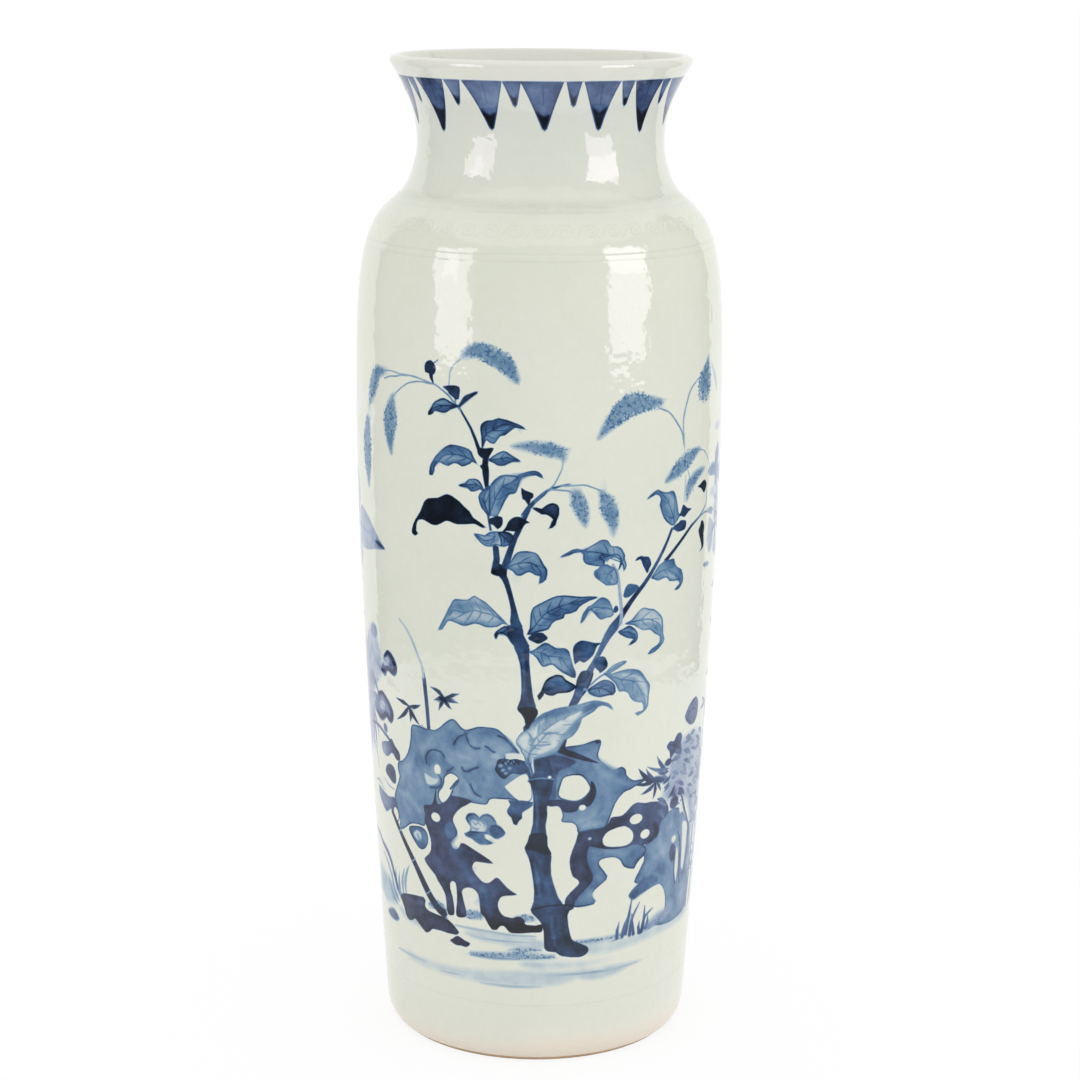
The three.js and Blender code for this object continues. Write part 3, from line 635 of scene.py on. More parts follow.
def leaf(brush, tone, tip, place, outline):
    """A leaf: a wash that gathers at its edge, streaks, veins, a drawn edge and a pressed tip."""
    points = from_start(place, outline)
    stalk, end = brush.place(points[:1])[0], brush.place(points[tip:tip + 1])[0]
    length = np.linalg.norm(end - stalk)
    axis = (end - stalk) / length
    pale = max(PALE_LEAF - tone, 0)
    side = rng.choice((-1, 1))

    def shade(places):
        along = (places - stalk) @ axis / length
        across = (places - stalk) @ (-axis[1], axis[0]) / length
        return 0.16 * (along - 0.55 + 1.3 * side * across)

    brush.wash(points, tone - 0.04 - 0.3 * pale, shade=shade, pool=0.13 + 0.9 * pale, guided=False)
    ahead = smooth_line(points[:tip + 1])
    back = smooth_line([points[0], *points[:tip - 1:-1]])
    count = max(3, round(length / VEIN_SPACING))
    steps = np.linspace(0, 1, count + 1)
    sides = [np.stack([spread(s[:, 0], steps), spread(s[:, 1], steps)], axis=1) for s in (ahead, back)]
    rib = (sides[0] + sides[1]) / 2
    if tone < DARK_LEAF:
        for far, shift in zip(sides, rng.permutation((-0.17, 0.06))):
            streak = rib + (far - rib) * rng.uniform(0.4, 0.6)
            brush.stroke(streak[1:-1] if count > 3 else streak, [0.3, 0.12 * length, 0.3], tone + shift,
                soft=1.5)
        brush.stroke(rib, [0.6 + pale, 0.5 + pale, 0.25], min(tone + EDGE_DARKER, 1))
        for i in range(1, count - 1):
            for far in sides:
                reach = rib[i] + (far[i + 1] - rib[i]) * rng.uniform(0.7, 0.9)
                bend = (rib[i] * 0.55 + reach * 0.45) + (rib[i + 1] - rib[i]) * -0.08
                brush.stroke([rib[i], bend, reach], [0.45 + pale, 0.4, 0.15], min(tone + VEIN_DARKER, 1))
    brush.stroke(points, uneven(len(points), 0.3, 0.95), min(tone + EDGE_DARKER, 1), closed=True)
    brush.stroke([(rib[-2] + rib[-1]) / 2, rib[-1]], [0.4, 1.2, 0.6], min(tone + 0.22, 1), soft=0.7)


def rock(brush, outline, tone, contour=0.82, width=0.7):
    """A rock's wash and its drawn edge."""
    brush.wash(outline, tone, pool=0.1, guided=False)
    brush.stroke(outline, uneven(len(outline), width * 0.5, width * 1.4), contour, closed=True)


def blade(brush, root, tip, width, tone, bow=0.08):
    """A bamboo leaf or blade of grass: one stroke, fullest below its middle and pointed at the tip."""
    root, tip = np.array(root, float), np.array(tip, float)
    across = np.array([root[1] - tip[1], tip[0] - root[0]]) * bow
    line = [root, root + (tip - root) * 0.4 + across, root + (tip - root) * 0.75 + across * 0.7, tip]
    brush.stroke(line, [width * 0.25, width, width * 0.75, 0.1], tone)


def burst(brush, centre, tips, width, tone):
    """Bamboo leaves that spread from one point."""
    for tip in tips:
        blade(brush, centre, tip, width, tone, bow=rng.uniform(-0.1, 0.1))


def spike(brush, widths, points):
    """A hanging spike of tiny flowers, stippled over a soft wash."""
    widths = np.array(widths, float)
    brush.stroke(points, widths * 0.82, 0.42, soft=2.6)
    brush.stroke(points, widths * 1.25, 0.86, soft=3.4, film=STIPPLE)


def left_rock(brush):
    rock(brush, LEFT_ROCK, 0.47, 0.78, 0.6)
    brush.streaks((([(-73, 137), (-66, 140), (-58, 148), (-50, 157)], 6, 0.4),
        ([(-76, 125), (-68, 124), (-60, 118)], 5, 0.37), ([(-62, 156), (-60, 145), (-64, 135)], 4, 0.53),
        ([(-42, 152), (-36, 150), (-30, 149)], 3, 0.38), ([(-34, 138), (-31, 134), (-26, 130)], 5, 0.36),
        ([(-22, 141), (-19, 137), (-17, 134)], 4, 0.4), ([(-30, 161), (-20, 162), (-13, 157)], 4, 0.53),
        ([(-21, 154), (-19, 152), (-16, 150)], 2.5, 0.34), ([(-29, 139), (-27, 136), (-28, 133)], 3, 0.56)),
        2.6)
    brush.wash([(-54, 146), (-50, 149), (-44, 148), (-40, 143.5), (-41, 141), (-45.5, 140), (-46, 143),
        (-49, 145), (-51.5, 143), (-53, 140)], 0.58, soft=1.4)
    base, brush.violet = brush.violet, 0.85
    brush.wash(LEFT_ROCK_SHADE, 0.79, pool=0.05, shade=lambda p: 0.14 * np.clip((74 - p[:, 1]) / 4, 0, 1))
    brush.violet = 0.1
    brush.streaks((([(-36, 99), (-34, 94), (-31, 89)], 6, 0.74), ([(-26, 88), (-24, 82), (-22, 75)], 7,
        0.75), ([(-42, 104), (-37, 103), (-31, 103)], 3, 0.75), ([(-22, 88), (-17, 87)], 4, 0.76),
        ([(-40, 115), (-41, 111), (-42, 107)], 4, 0.72)), 3, (1, 1.5))
    brush.wash(LEFT_ROCK_LOBE, 0.68, soft=1.2)
    brush.violet = base
    for hole in (LEFT_ROCK_EYE, LEFT_ROCK_GAP, oval((-48.3, 141.3), 1.9, 2.5),
            oval((-50.3, 117.7), 2.7, 2.3)):
        brush.bare(hole)
    brush.stroke(LEFT_ROCK_GAP, uneven(14, 0.4, 0.9), 0.82, closed=True)
    brush.stroke([(-41.5, 133), (-39, 136), (-36.8, 138.3)], [0.8, 1.4, 0.8], 0.8)
    brush.wash([(-56, 138), (-53, 137), (-50, 136.5), (-48, 137), (-48.5, 135), (-51, 133.3), (-54.5, 133),
        (-55.8, 135)], 0.12, soft=0.9)
    brush.stroke([(-48, 139), (-46.3, 137), (-46.5, 134), (-49, 132.3), (-53, 131.8)], [0.8, 1.7, 1], 0.74,
        soft=0.7)
    for fold in LEFT_ROCK_FOLDS:
        brush.stroke(fold, [1, 2.6, 1], 0.58, soft=2)
        brush.stroke(fold, uneven(5, 0.6, 1.2), 0.78)
    rock(brush, LEFT_ROCK_CURL, 0.58, 0.8)
    brush.wash([(-65.5, 106), (-63, 108.5), (-60.5, 107.8), (-60, 105), (-62, 103.5)], 0.12, soft=0.9)
    brush.stroke([(-62.8, 107), (-62, 105), (-60.5, 103.5)], [0.6, 1.2, 0.6], 0.45, soft=0.8)
    brush.wash(HANGING_KNOB, 0.68, shade=lambda p: 0.22 * np.clip((126 - p[:, 1]) / 3, 0, 1))
    brush.wash([(-14, 153), (-11, 153.8), (-8, 153.4), (-6.5, 151.5), (-10, 151.5), (-13.5, 151)], 0.06,
        soft=0.8)
    brush.wash(CONE, 0.76, pool=0.1, shade=lambda p: 0.05 * np.clip((-12 - p[:, 0]) / 4, 0, 1))
    for x, y, wide in ((-16.3, 147.3, 1.2), (-15.3, 145.2, 1), (-13.2, 149, 1.3), (-10.8, 149.2, 1),
            (-14, 143.8, 0.8), (-12.2, 146.3, 0.9)):
        brush.blot((x, y), wide, wide * 0.7, 0.42, lean=20, count=8)
    for k in range(4):
        brush.stroke([(-18 + 2.6 * k, 148), (-16.8 + 2.6 * k, 150), (-15.4 + 2.6 * k, 148.2)],
            [0.5, 0.9, 0.5], 0.92)


def peony(brush):
    brush.wash(PEONY, 0.5, soft=0.7, pool=0.08)
    brush.wash([(-31.3, 118.5), (-30, 120), (-27.5, 119.3), (-25, 119.5), (-23.5, 117.5), (-24, 115),
        (-27, 114.3), (-31, 114), (-30.8, 116)], 0.12, soft=1.3)
    brush.wash([(-22, 117), (-20, 118.5), (-17.5, 118), (-15.2, 115.5), (-14.9, 113.9), (-17.7, 112.2),
        (-20.5, 112.8), (-21.5, 114.5)], 0.68, soft=1)
    brush.wash([(-33.8, 112), (-30.5, 113.3), (-26, 113.6), (-24.3, 112.5), (-24, 110.5), (-22, 109.5),
        (-26, 108.6), (-29, 109.5), (-31, 111)], 0.66, soft=0.9)
    for line, width in (([(-32.3, 118), (-33.3, 120), (-32.2, 121.9), (-29.4, 122.8), (-27.3, 121.6)], 1.2),
            ([(-26.9, 120.8), (-25.2, 122.5), (-22.6, 123.1), (-20.2, 121.9), (-18.9, 120)], 1),
            ([(-21, 117.8), (-18.5, 118), (-16, 116.7), (-14.6, 115)], 1.5),
            ([(-33, 113.2), (-30, 114), (-26.5, 114), (-23.5, 114.3)], 0.9),
            ([(-24, 110.8), (-22.4, 110.2), (-20.9, 109.6), (-23, 108.7)], 1.1)):
        brush.stroke(line, [0.4, width, 0.5], 0.8, soft=0.7)
    for line in ([(-30, 118.8), (-28.6, 117.6), (-27.6, 118.8), (-26, 117.4)],
            [(-30, 116), (-28.4, 115.4), (-27, 116)], [(-26, 119.6), (-24.6, 118.4), (-24.4, 116.6)]):
        brush.stroke(line, [0.4, 0.7, 0.4], 0.44, soft=0.6)


def right_rock(brush):
    rock(brush, RIGHT_ROCK, 0.51, 0.8, 0.6)
    brush.streaks((([(20, 155), (28, 148), (38, 139), (45, 135)], 5, 0.43),
        ([(20, 120), (28, 124), (33, 132)], 5, 0.44), ([(14, 154), (22, 155), (28, 157)], 3, 0.6),
        ([(30, 146), (38, 142), (43, 138)], 3, 0.57), ([(22, 117.5), (28, 118), (32, 118)], 2, 0.4),
        ([(29, 137), (31, 130), (30, 124)], 4, 0.58)), 2.8)
    base, brush.violet = brush.violet, 0.4
    brush.wash(RIGHT_ROCK_CAP, 0.7, soft=1, pool=0.06)
    brush.stroke([(0, 148), (6, 149), (13, 147)], [1, 3, 1], 0.61, soft=2.5)
    brush.wash(EYE_SHADE, 0.86, pool=0.03)
    brush.violet = base
    brush.bare(ROUND_EYE)
    brush.stroke(ROUND_EYE, uneven(12, 0.4, 0.9), 0.84, closed=True)
    brush.bare(oval((21.5, 127), 1.7, 1.4))
    brush.blot((27.8, 158), 1.2, 0.9, 0.85, soft=0.7)


def arch_rock(brush):
    base, brush.violet = brush.violet, 0.15
    rock(brush, FAR_ROCK, 0.48, 0.66, 0.6)
    brush.streaks((([(66, 108), (68, 101), (70, 95)], 7, 0.36), ([(60, 101), (63, 97), (66, 93)], 5, 0.42),
        ([(62, 88), (70, 89), (78, 84)], 6, 0.55), ([(82, 80), (84, 72), (84, 64)], 6, 0.53),
        ([(90, 78), (92, 70), (92, 63)], 4, 0.42), ([(62, 118), (66, 119.5), (69, 120)], 4, 0.57)), 2.8)
    brush.wash([(48.5, 80), (51, 83), (55, 86), (61, 87.5), (67, 84.5), (66, 82.5), (60, 81), (54, 78.8),
        (50, 77.8)], 0.68, soft=2)
    rock(brush, ARCH_FOOT, 0.55, 0.78)
    brush.stroke([(28, 105), (36, 104), (44, 101)], [1, 3, 1], 0.47, soft=2.5)
    brush.stroke([(46, 99), (50, 102), (54, 103)], [2, 5, 2], 0.66, soft=2.5)
    brush.stroke([(22, 82), (26, 83)], [2, 4], 0.47, soft=2)
    brush.violet = 0.65
    brush.wash(ARCH, 0.84, pool=0.03, shade=lambda p: -0.1 * np.clip((p[:, 0] - 40) / 8, 0, 1))
    brush.stroke([(62, 113), (64, 108), (60, 105)], [2, 3.5, 2], 0.88, soft=1.6)
    for hole in (ARCH_EYE, oval((50, 117.5), 3.8, 2.5), oval((56, 109), 3, 2.3)):
        brush.bare(hole)
    brush.blot((25.5, 111.5), 0.9, 0.7, 0.3, soft=0.45)
    brush.violet = base


def trunk(brush):
    """The main trunk in jointed lengths, lit from the left, with its two leaders."""
    brush.wash(TRUNK_BEHIND_LEAF, 0.78)
    for outline, tone in ((TRUNK_FOOT, 0.8), (TRUNK_LOW, 0.81), (TRUNK_MIDDLE, 0.8), (TRUNK_HIGH, 0.77),
            (TRUNK_TOP, 0.82)):
        brush.wash(outline, tone, pool=0.05)
    for line, widths in (([(14.6, 77), (13.2, 72), (13.6, 66), (16.2, 61), (21.5, 57.3)],
            [1.2, 1.8, 2, 2.2, 3.4]), ([(10.8, 81.5), (7.4, 88), (5.5, 95), (4.8, 104)],
            [1.4, 1.8, 1.6, 1.8]), ([(5.6, 139), (3.6, 132), (2.8, 125), (2.6, 116)], [2.6, 3.4, 3.4, 2.6]),
            ([(-2.4, 177), (-4.4, 188), (-5, 202)], [1.5, 1.2, 1.5])):
        brush.stroke(line, widths, 0.86, soft=1.3)
    for line in ([(8, 75), (8, 68), (10, 60)], [(2, 84), (1, 92), (-1, 101)],
            [(-1, 136), (0.5, 126), (0.5, 118)], [(-6, 180), (-5.6, 188), (-6, 198)]):
        brush.stroke(line, [0.5, 1.6, 0.5], 0.67, soft=1.6)
    for outline in (TRUNK_NODE, KNOT_LOW, FORK, LEADER_KNOT, CROWN_KNOT):
        brush.wash(outline, 0.95)
    brush.wash(KNOT_HIGH, 0.82)
    brush.stroke([(-2, 77.8), (5, 79.6), (13, 80), (18, 79.3)], [0.9, 0.6, 0.9], 0.95)
    brush.stroke([(-3.5, 141), (2, 142), (8, 141.4)], [0.5, 0.8, 0.5], 0.5, soft=0.5)
    brush.bare(oval((6, 142.4), 0.9, 0.7, 0, 7))
    brush.stroke([(-17.9, 240.5), (-17.4, 244), (-17.9, 249.5)], [3.2, 2.6, 2.6], 0.86)
    brush.stroke([(-22, 290), (-22.3, 286), (-22, 281), (-21.4, 275)], [2.2, 2.8, 2.4, 1.4], 0.95)
    brush.stroke([(-20, 257), (-20.8, 262), (-21.5, 266.7), (-21.6, 271), (-21.9, 276)], [1, 0.9, 0.9], 0.82)
    brush.stroke([(-13.7, 240.8), (-11.5, 248.5), (-9.2, 255), (-7.8, 257.6), (-5.5, 263), (-3.7, 266.7)],
        [3.4, 2.8, 2.4, 2.2, 1.8, 1.3], 0.84)


def leaning_tree(brush):
    """The second tree, which leans away to the right."""
    brush.wash(TREE_WEDGE, 0.86)
    brush.wash(TREE_FOOT, 0.8, pool=0.05)
    brush.stroke([(18, 181.5), (20.8, 186), (22.6, 190.5), (25.8, 197), (28.5, 202.4), (31.3, 207.8),
        (34, 211.5), (37.2, 216), (40.4, 220.5), (44, 225), (47.6, 228.7), (50.4, 232), (53, 235.5),
        (57.5, 242), (61, 248), (63.5, 253)], [4, 3.4, 3.2, 2.2, 2.3, 3.5, 4.5, 2.8, 2.4, 2.3, 2, 2, 1.8,
        1.7, 1.6, 1.5], [0.72, 0.72, 0.66, 0.64, 0.68, 0.86, 0.86, 0.76, 0.8, 0.82, 0.86])
    brush.stroke([(60, 238.5), (65, 242.5), (72, 248), (78, 252.3), (84, 254.8), (88, 257.5)],
        [2, 1.7, 1.6, 1.5, 1.2, 0.8], [0.9, 0.85, 0.82, 0.4])
    brush.stroke([(37.2, 212.4), (37.5, 217.8), (36.7, 224), (35.8, 230.5), (35, 236), (32.6, 240.5)],
        [1.6, 1.5, 1.2], 0.3)


# The great pale leaf's row in LEAVES
GREAT_LEAF = 27


def foliage(brush):
    """Stalks, flower spikes, leaves and buds of both trees."""
    for tone, widths, place, steps in STALKS:
        brush.stroke(from_start(place, steps), widths, tone)
    for widths, place, steps in SPIKES:
        spike(brush, widths, from_start(place, steps))
    for number, row in enumerate(LEAVES):
        leaf(brush, *row)
        if number == GREAT_LEAF:
            great_leaf(brush)
    for tone, place, outline in BUDS:
        brush.wash(from_start(place, outline), tone, pool=0.05)


def great_leaf(brush):
    """The play of light on the great pale leaf: dark edges and tip, and bare patches between its veins."""
    for line, width, tone in (([(-1, 167), (1.5, 170.5), (6, 172.3), (12, 173.8), (18, 174.6), (25, 175.6)],
            3, 0.52), ([(19, 171.5), (22, 173.6), (26, 175.6), (30, 176.4)], 3, 0.6),
            ([(11, 161.5), (15, 164), (18, 168), (20, 171)], 3, 0.46), ([(4.5, 172), (4.8, 170),
            (5.2, 168.5)], 1.4, 0.64), ([(0, 151.8), (5, 153.8), (9, 155.6), (11, 158.6)], 1.4, 0.4)):
        brush.stroke(line, [0.6, width, width, 0.8], tone, soft=1.4)
    for patch in ([(3, 165), (7, 168.3), (11, 169.6), (13, 168), (9, 165.5), (5, 163.9)],
            [(-2.5, 162.5), (-1, 165.5), (1, 166), (1.5, 163.5), (-0.5, 160.5)],
            [(0, 154), (3, 157.5), (8, 160.5), (9.5, 158.5), (6, 155.5), (1, 153.3)],
            [(-7.8, 159.5), (-6.5, 162), (-4, 162.5), (-3.6, 158), (-5, 155.5)],
            [(13, 170), (16, 172.3), (20, 172.8), (17.5, 169.8)]):
        brush.wash(patch, 0.1, soft=1.6)
    for vein in ([(-3.6, 151), (-2.6, 156), (-1.2, 160), (2, 163.6), (6.5, 167.4), (12, 170.4), (18, 172.9)],
            [(-1.6, 160), (-3, 162.5), (-4.6, 164.6)], [(2, 163.4), (6, 163.2), (10, 163.8)],
            [(-2, 157.6), (2, 157.6), (6.5, 158.2)], [(6, 167), (5.2, 169.4), (5, 171.5)],
            [(0.6, 162.6), (0.8, 166), (1.4, 169)]):
        brush.stroke(vein, [0.9, 1, 0.4], 0.46, soft=0.7)
    brush.stroke([(-4, 151.5), (-3.2, 147), (-2, 143)], [0.8, 0.9, 0.6], 0.6)
    brush.stroke([(-1.8, 151.5), (-1.8, 148), (-1.2, 144.5)], [0.5, 1.1, 0.5], 0.08, soft=0.5)


def bamboo(brush):
    """Bamboo stems and leaf bursts at both sides of the rocks."""
    brush.stroke([(-54.3, 184), (-53.2, 172), (-52.5, 160)], [2.2, 2], 0.8)
    brush.stroke([(-54.5, 184), (-55.5, 190), (-58, 195), (-61, 201), (-65, 206), (-69, 209)], [1.4, 1],
        0.24, soft=0.8)
    burst(brush, (-64.5, 168.5), [(-74, 170.3), (-74, 160), (-57, 170.6), (-58, 160.6), (-64, 161)], 2.2,
        0.85)
    burst(brush, (-43.2, 176.4), [(-51, 180.5), (-49, 174.5), (-46.5, 170), (-39.5, 171.5), (-36, 175),
        (-35.5, 179.5)], 2.1, 0.85)
    stem = [(-83, 112.5), (-79.5, 108.5), (-75, 103), (-70, 97), (-66, 92), (-62, 86.5), (-58, 80.5),
        (-54, 75.5), (-50, 72), (-47.5, 70.8)]
    brush.stroke(stem, [2.3, 2.6, 3.2, 3.8, 4.2], 0.9)
    for x, y in ((-76.5, 104.8), (-66.5, 92.8), (-57, 79)):
        brush.stroke([(x - 1.6, y - 1.3), (x + 1.6, y + 1.3)], [0.5], 0.25)


def right_thicket(brush):
    """Bamboo, flowers and stems at the right-hand edge."""
    brush.wash([(67, 125), (70, 134), (72, 144), (82, 150), (96, 150), (106, 143), (110, 124), (104, 108),
        (100, 96), (103, 80), (101, 72), (98, 78), (98, 96), (93, 112), (84, 121), (73, 121)], 0.3, soft=4)
    for x, top in ((104, 148), (110, 168), (117, 156), (124, 174), (131, 138)):
        brush.stroke([(x - 4, 61), (x - 1, 100), (x + 2, top)], [3, 2.4, 1], [0.5, 0.42, 0.36], soft=0.7)
        for joint in range(76 + x % 17, top - 8, 24):
            brush.stroke([(x - 4, joint), (x + 2, joint)], [0.6], 0.12)
            turn = rng.uniform(-3, 3)
            burst(brush, (x, joint + 3), [(x + 9, joint + 7 + turn), (x + 10, joint + turn),
                (x + 6, joint - 6), (x - 7, joint + 8), (x - 9, joint - turn)], 2.6, rng.uniform(0.4, 0.6))
    for row in range(10):
        for column in range(5):
            x, y = 66 + 8 * column + rng.uniform(-3, 3), 119 + 3.4 * row + rng.uniform(-1.5, 1.5)
            if x > 69 or y < 137:
                blade(brush, (x, y), (x + rng.uniform(4, 9), y + rng.uniform(-5.5, 1)), rng.uniform(2, 3.2),
                    rng.uniform(0.4, 0.68), 0.06)
    brush.wash([(67.5, 149), (70, 151), (73, 150.5), (75, 153), (78, 153.5), (80, 151), (79, 148),
        (80.5, 144), (77, 143), (74, 144.5), (71, 142.5), (70, 146)], 0.63, pool=0.1)
    for tip in ((69.5, 149.5), (77, 152), (79, 145), (73, 144.5)):
        brush.stroke([(74.7, 147.8), tip], [0.9, 0.4], 0.78, soft=0.6)
    brush.blot((69.5, 141), 2.6, 1.8, 0.8, lean=10)
    brush.wash([(81.5, 160), (84, 164), (88, 166.5), (93, 167), (96, 163.5), (96, 158), (92, 154.5),
        (86, 155.5)], 0.62, soft=0.9, pool=0.12)
    brush.stroke([(84, 160), (88, 162.5), (93, 161)], [0.5, 1, 0.5], 0.78, soft=0.8)
    for root, tip, width, tone in (((60, 133.5), (50, 142), 3, 0.8), ((61, 134), (54.5, 141), 2.2, 0.7),
            ((62, 134), (45, 135.8), 1.8, 0.74), ((61, 133), (52, 129), 2.4, 0.78),
            ((61, 133), (59.8, 125), 2.2, 0.78), ((62, 132.5), (65, 128), 1.8, 0.7),
            ((60, 134.5), (53, 134), 2.6, 0.82), ((69, 137), (61, 146), 2.4, 0.72),
            ((70, 138), (55, 142), 2, 0.66), ((70, 136.5), (62, 137.5), 2, 0.74),
            ((72, 134), (66, 131), 2, 0.76), ((71, 131), (67.5, 127), 2, 0.7),
            ((76, 128), (71, 123), 2.2, 0.76), ((80, 126), (86, 120), 1.8, 0.72)):
        blade(brush, root, tip, width, tone)
    brush.blot((63, 134), 4.4, 1.8, 0.76, soft=1.2, lean=-12, count=9)
    brush.blot((76.5, 119.5), 3.8, 3, 0.78, soft=1, lean=10, count=9)
    for hole in (oval((83.5, 115.5), 1.9, 3.4, 8, 9), oval((78.3, 101), 2.1, 1.8, 0, 9),
            [(86.5, 107), (90, 106.5), (93, 104), (92.5, 92), (90.5, 82), (88.5, 84), (87.5, 94), (87, 100)],
            [(82, 96), (84, 92), (84.5, 84), (83, 78.5), (81, 84), (81.3, 91)]):
        brush.wash(hole, 0.05, soft=0.9)
    brush.blot((78, 94.3), 3, 4.6, 0.76, soft=1, lean=10, count=10)
    for line, width in (([(80, 125), (84, 120), (87.5, 113), (92, 107), (95, 102)], 1.9),
            ([(81.5, 104), (84.5, 99), (86, 91), (86, 82), (87.5, 76.5)], 2.2),
            ([(80, 90), (80.5, 84), (82.5, 78)], 1.2), ([(95, 104), (94.5, 92), (92, 80)], 1.2)):
        brush.stroke(line, [0.7, width, 0.8], 0.72, soft=0.8)


def left_thicket(brush):
    """Flowers, stems and a mass of petals at the left-hand edge."""
    brush.wash([(-122, 150), (-116, 176), (-106, 192), (-98, 199), (-91, 197), (-87, 188), (-86, 180),
        (-92, 174), (-97, 168), (-100, 156), (-106, 140), (-116, 132)], 0.26, soft=4)
    for ring, width in ((0.55, 3.4), (1, 3)):
        for k in range(18):
            a = k * math.pi / 9 + ring
            blade(brush, (-106 + 9 * (ring - 0.5) * math.cos(a), 166 + 18 * (ring - 0.5) * math.sin(a)),
                (-106 + 17 * ring * math.cos(a), 166 + 31 * ring * math.sin(a)), width,
                rng.uniform(0.3, 0.44))
    brush.wash([(-98, 197), (-96, 201), (-91, 201), (-89.5, 197), (-93, 194.5)], 0.5, soft=1.6)
    brush.streaks((([(-99, 192), (-94, 186), (-89, 181)], 5, 0.32),
        ([(-106, 186), (-101, 178), (-95, 172)], 5, 0.38), ([(-99, 176), (-95, 172), (-91, 168)], 1.8, 0.6),
        ([(-108, 170), (-102, 164), (-98, 158)], 4, 0.34)), 1.8, (0.6, 0.6))
    curl(brush, [(-86.5, 182), (-83, 187.5), (-80, 191), (-77, 190), (-73.8, 186), (-73.5, 182), (-76, 181),
        (-80, 182), (-83, 178.5), (-87, 180.5)], (-81.5, 186), [(-83, 188), (-79.5, 190.7), (-76, 189),
        (-73.7, 185), (-75, 181.8), (-80, 183), (-84, 181), (-86.5, 181)])
    curl(brush, [(-97, 164), (-92, 168), (-87, 169.5), (-82, 167), (-78, 162), (-79.5, 157), (-83, 158.5),
        (-88, 155.5), (-94, 157), (-98, 160)], (-88, 163.3), [(-92, 168), (-87, 169.3), (-82, 166.5),
        (-78.5, 162), (-79.8, 158), (-84, 160), (-89, 157), (-95, 158.5)])
    brush.stroke([(-104, 151), (-98, 152), (-92, 151.5), (-86, 149.5), (-82, 148), (-79.5, 146)],
        [0.8, 1.8, 1.4], 0.66)
    brush.blot((-85.5, 152.8), 2, 2.4, 0.55, lean=20)
    brush.wash([(-91, 144), (-87, 146), (-83, 147), (-80, 149), (-77, 146), (-73.5, 143.5), (-73.5, 140),
        (-76, 139.5), (-80, 142), (-85, 139), (-90, 140)], 0.58, pool=0.12,
        shade=lambda p: 0.16 * np.clip((p[:, 0] + 83) / 6, -1, 1))
    brush.wash([(-88, 131), (-86, 134.5), (-82, 136), (-78.5, 134.5), (-77.5, 131), (-78, 128), (-80, 127),
        (-84, 128.5)], 0.74, soft=0.9, pool=0.1)
    brush.wash([(-99, 121), (-92, 120), (-86, 119), (-80, 120), (-76, 117.5), (-79, 114.5), (-85, 113),
        (-90, 110.5), (-95, 113), (-99, 117)], 0.58, soft=1, pool=0.1,
        shade=lambda p: 0.1 * np.clip((p[:, 0] + 86) / 6, -1, 1))
    brush.bare(oval((-79.3, 112.3), 2.4, 3.4, 15))
    brush.stroke(oval((-79.3, 112.3), 2.6, 3.6, 15), uneven(8, 0.5, 1), 0.72, closed=True)
    for line, width in (([(-104, 122), (-98, 124), (-91, 121)], 1.2), ([(-103, 144), (-99, 138), (-97, 130)],
            1), ([(-90, 127), (-86, 125), (-80, 124)], 0.7)):
        brush.stroke(line, [0.4, width, 0.4], 0.42, soft=0.8)
    brush.stroke([(-112, 97), (-104, 95.5), (-98, 92.5), (-92, 90), (-88, 86.5), (-85, 81), (-82, 74)],
        [1.6, 2.6, 2], 0.66, soft=0.8)
    brush.stroke([(-98, 88), (-92, 84), (-88, 78)], [0.8, 2, 0.8], 0.4, soft=1)


def curl(brush, outline, pale, edge):
    """A flower seen from the side: a pale heart in a dark, curled edge."""
    brush.wash(outline, 0.5, soft=0.9)
    brush.blot(pale, 3.4, 2.3, 0.2, soft=1.6, lean=15, count=9)
    brush.stroke(edge, [1.4, 2.2, 2.8, 3, 2.6, 2.4, 1.6], 0.8, soft=0.8)
    brush.stroke([(pale[0] - 3, pale[1] + 1), (pale[0], pale[1] + 0.2), (pale[0] + 2.5, pale[1] - 0.6)],
        [0.3, 0.7, 0.3], 0.5)


# Flowers at the sides: tone, heart, petals, and the branch from the heart down
SIDE_FLOWERS = [
    (0.31, (106, 246.5), [
        [(95.5, 252), (100, 250.5), (104, 247), (103, 240), (101, 236), (97, 235.5), (94.5, 243)],
        [(106, 248), (102, 256), (107, 262), (112, 255)],
        [(108, 247), (114, 252), (121, 249), (115, 243)],
        [(107, 245), (105, 236), (111, 231), (114, 238)],
    ], [(108, 243), (116, 228), (120, 208), (121, 186), (118, 166), (116, 148)]),
    (0.38, (103, 272), [
        [(101.5, 272), (99, 275.5), (94, 276.5), (91.5, 274.5), (95, 272)],
        [(103, 274), (101, 281), (106, 286), (109, 279)],
        [(105, 272), (110, 276), (116, 273), (111, 268)],
        [(103, 270), (101, 262), (107, 258), (108, 266)],
    ], [(105, 269), (113, 257), (117, 243), (118, 230)]),
    (0.3, (-114, 246), [
        [(-78.5, 240), (-83, 243.5), (-88, 248), (-96, 253), (-106, 255), (-112, 246), (-106, 236),
            (-96, 236), (-88, 238)],
        [(-114, 249), (-107, 260), (-113, 272), (-121, 261)],
        [(-117, 247), (-127, 254), (-139, 248), (-128, 240)],
        [(-113, 243), (-107, 232), (-114, 222), (-120, 233)],
    ], [(-115, 243), (-121, 226), (-123, 206), (-121, 186), (-114, 170)]),
]


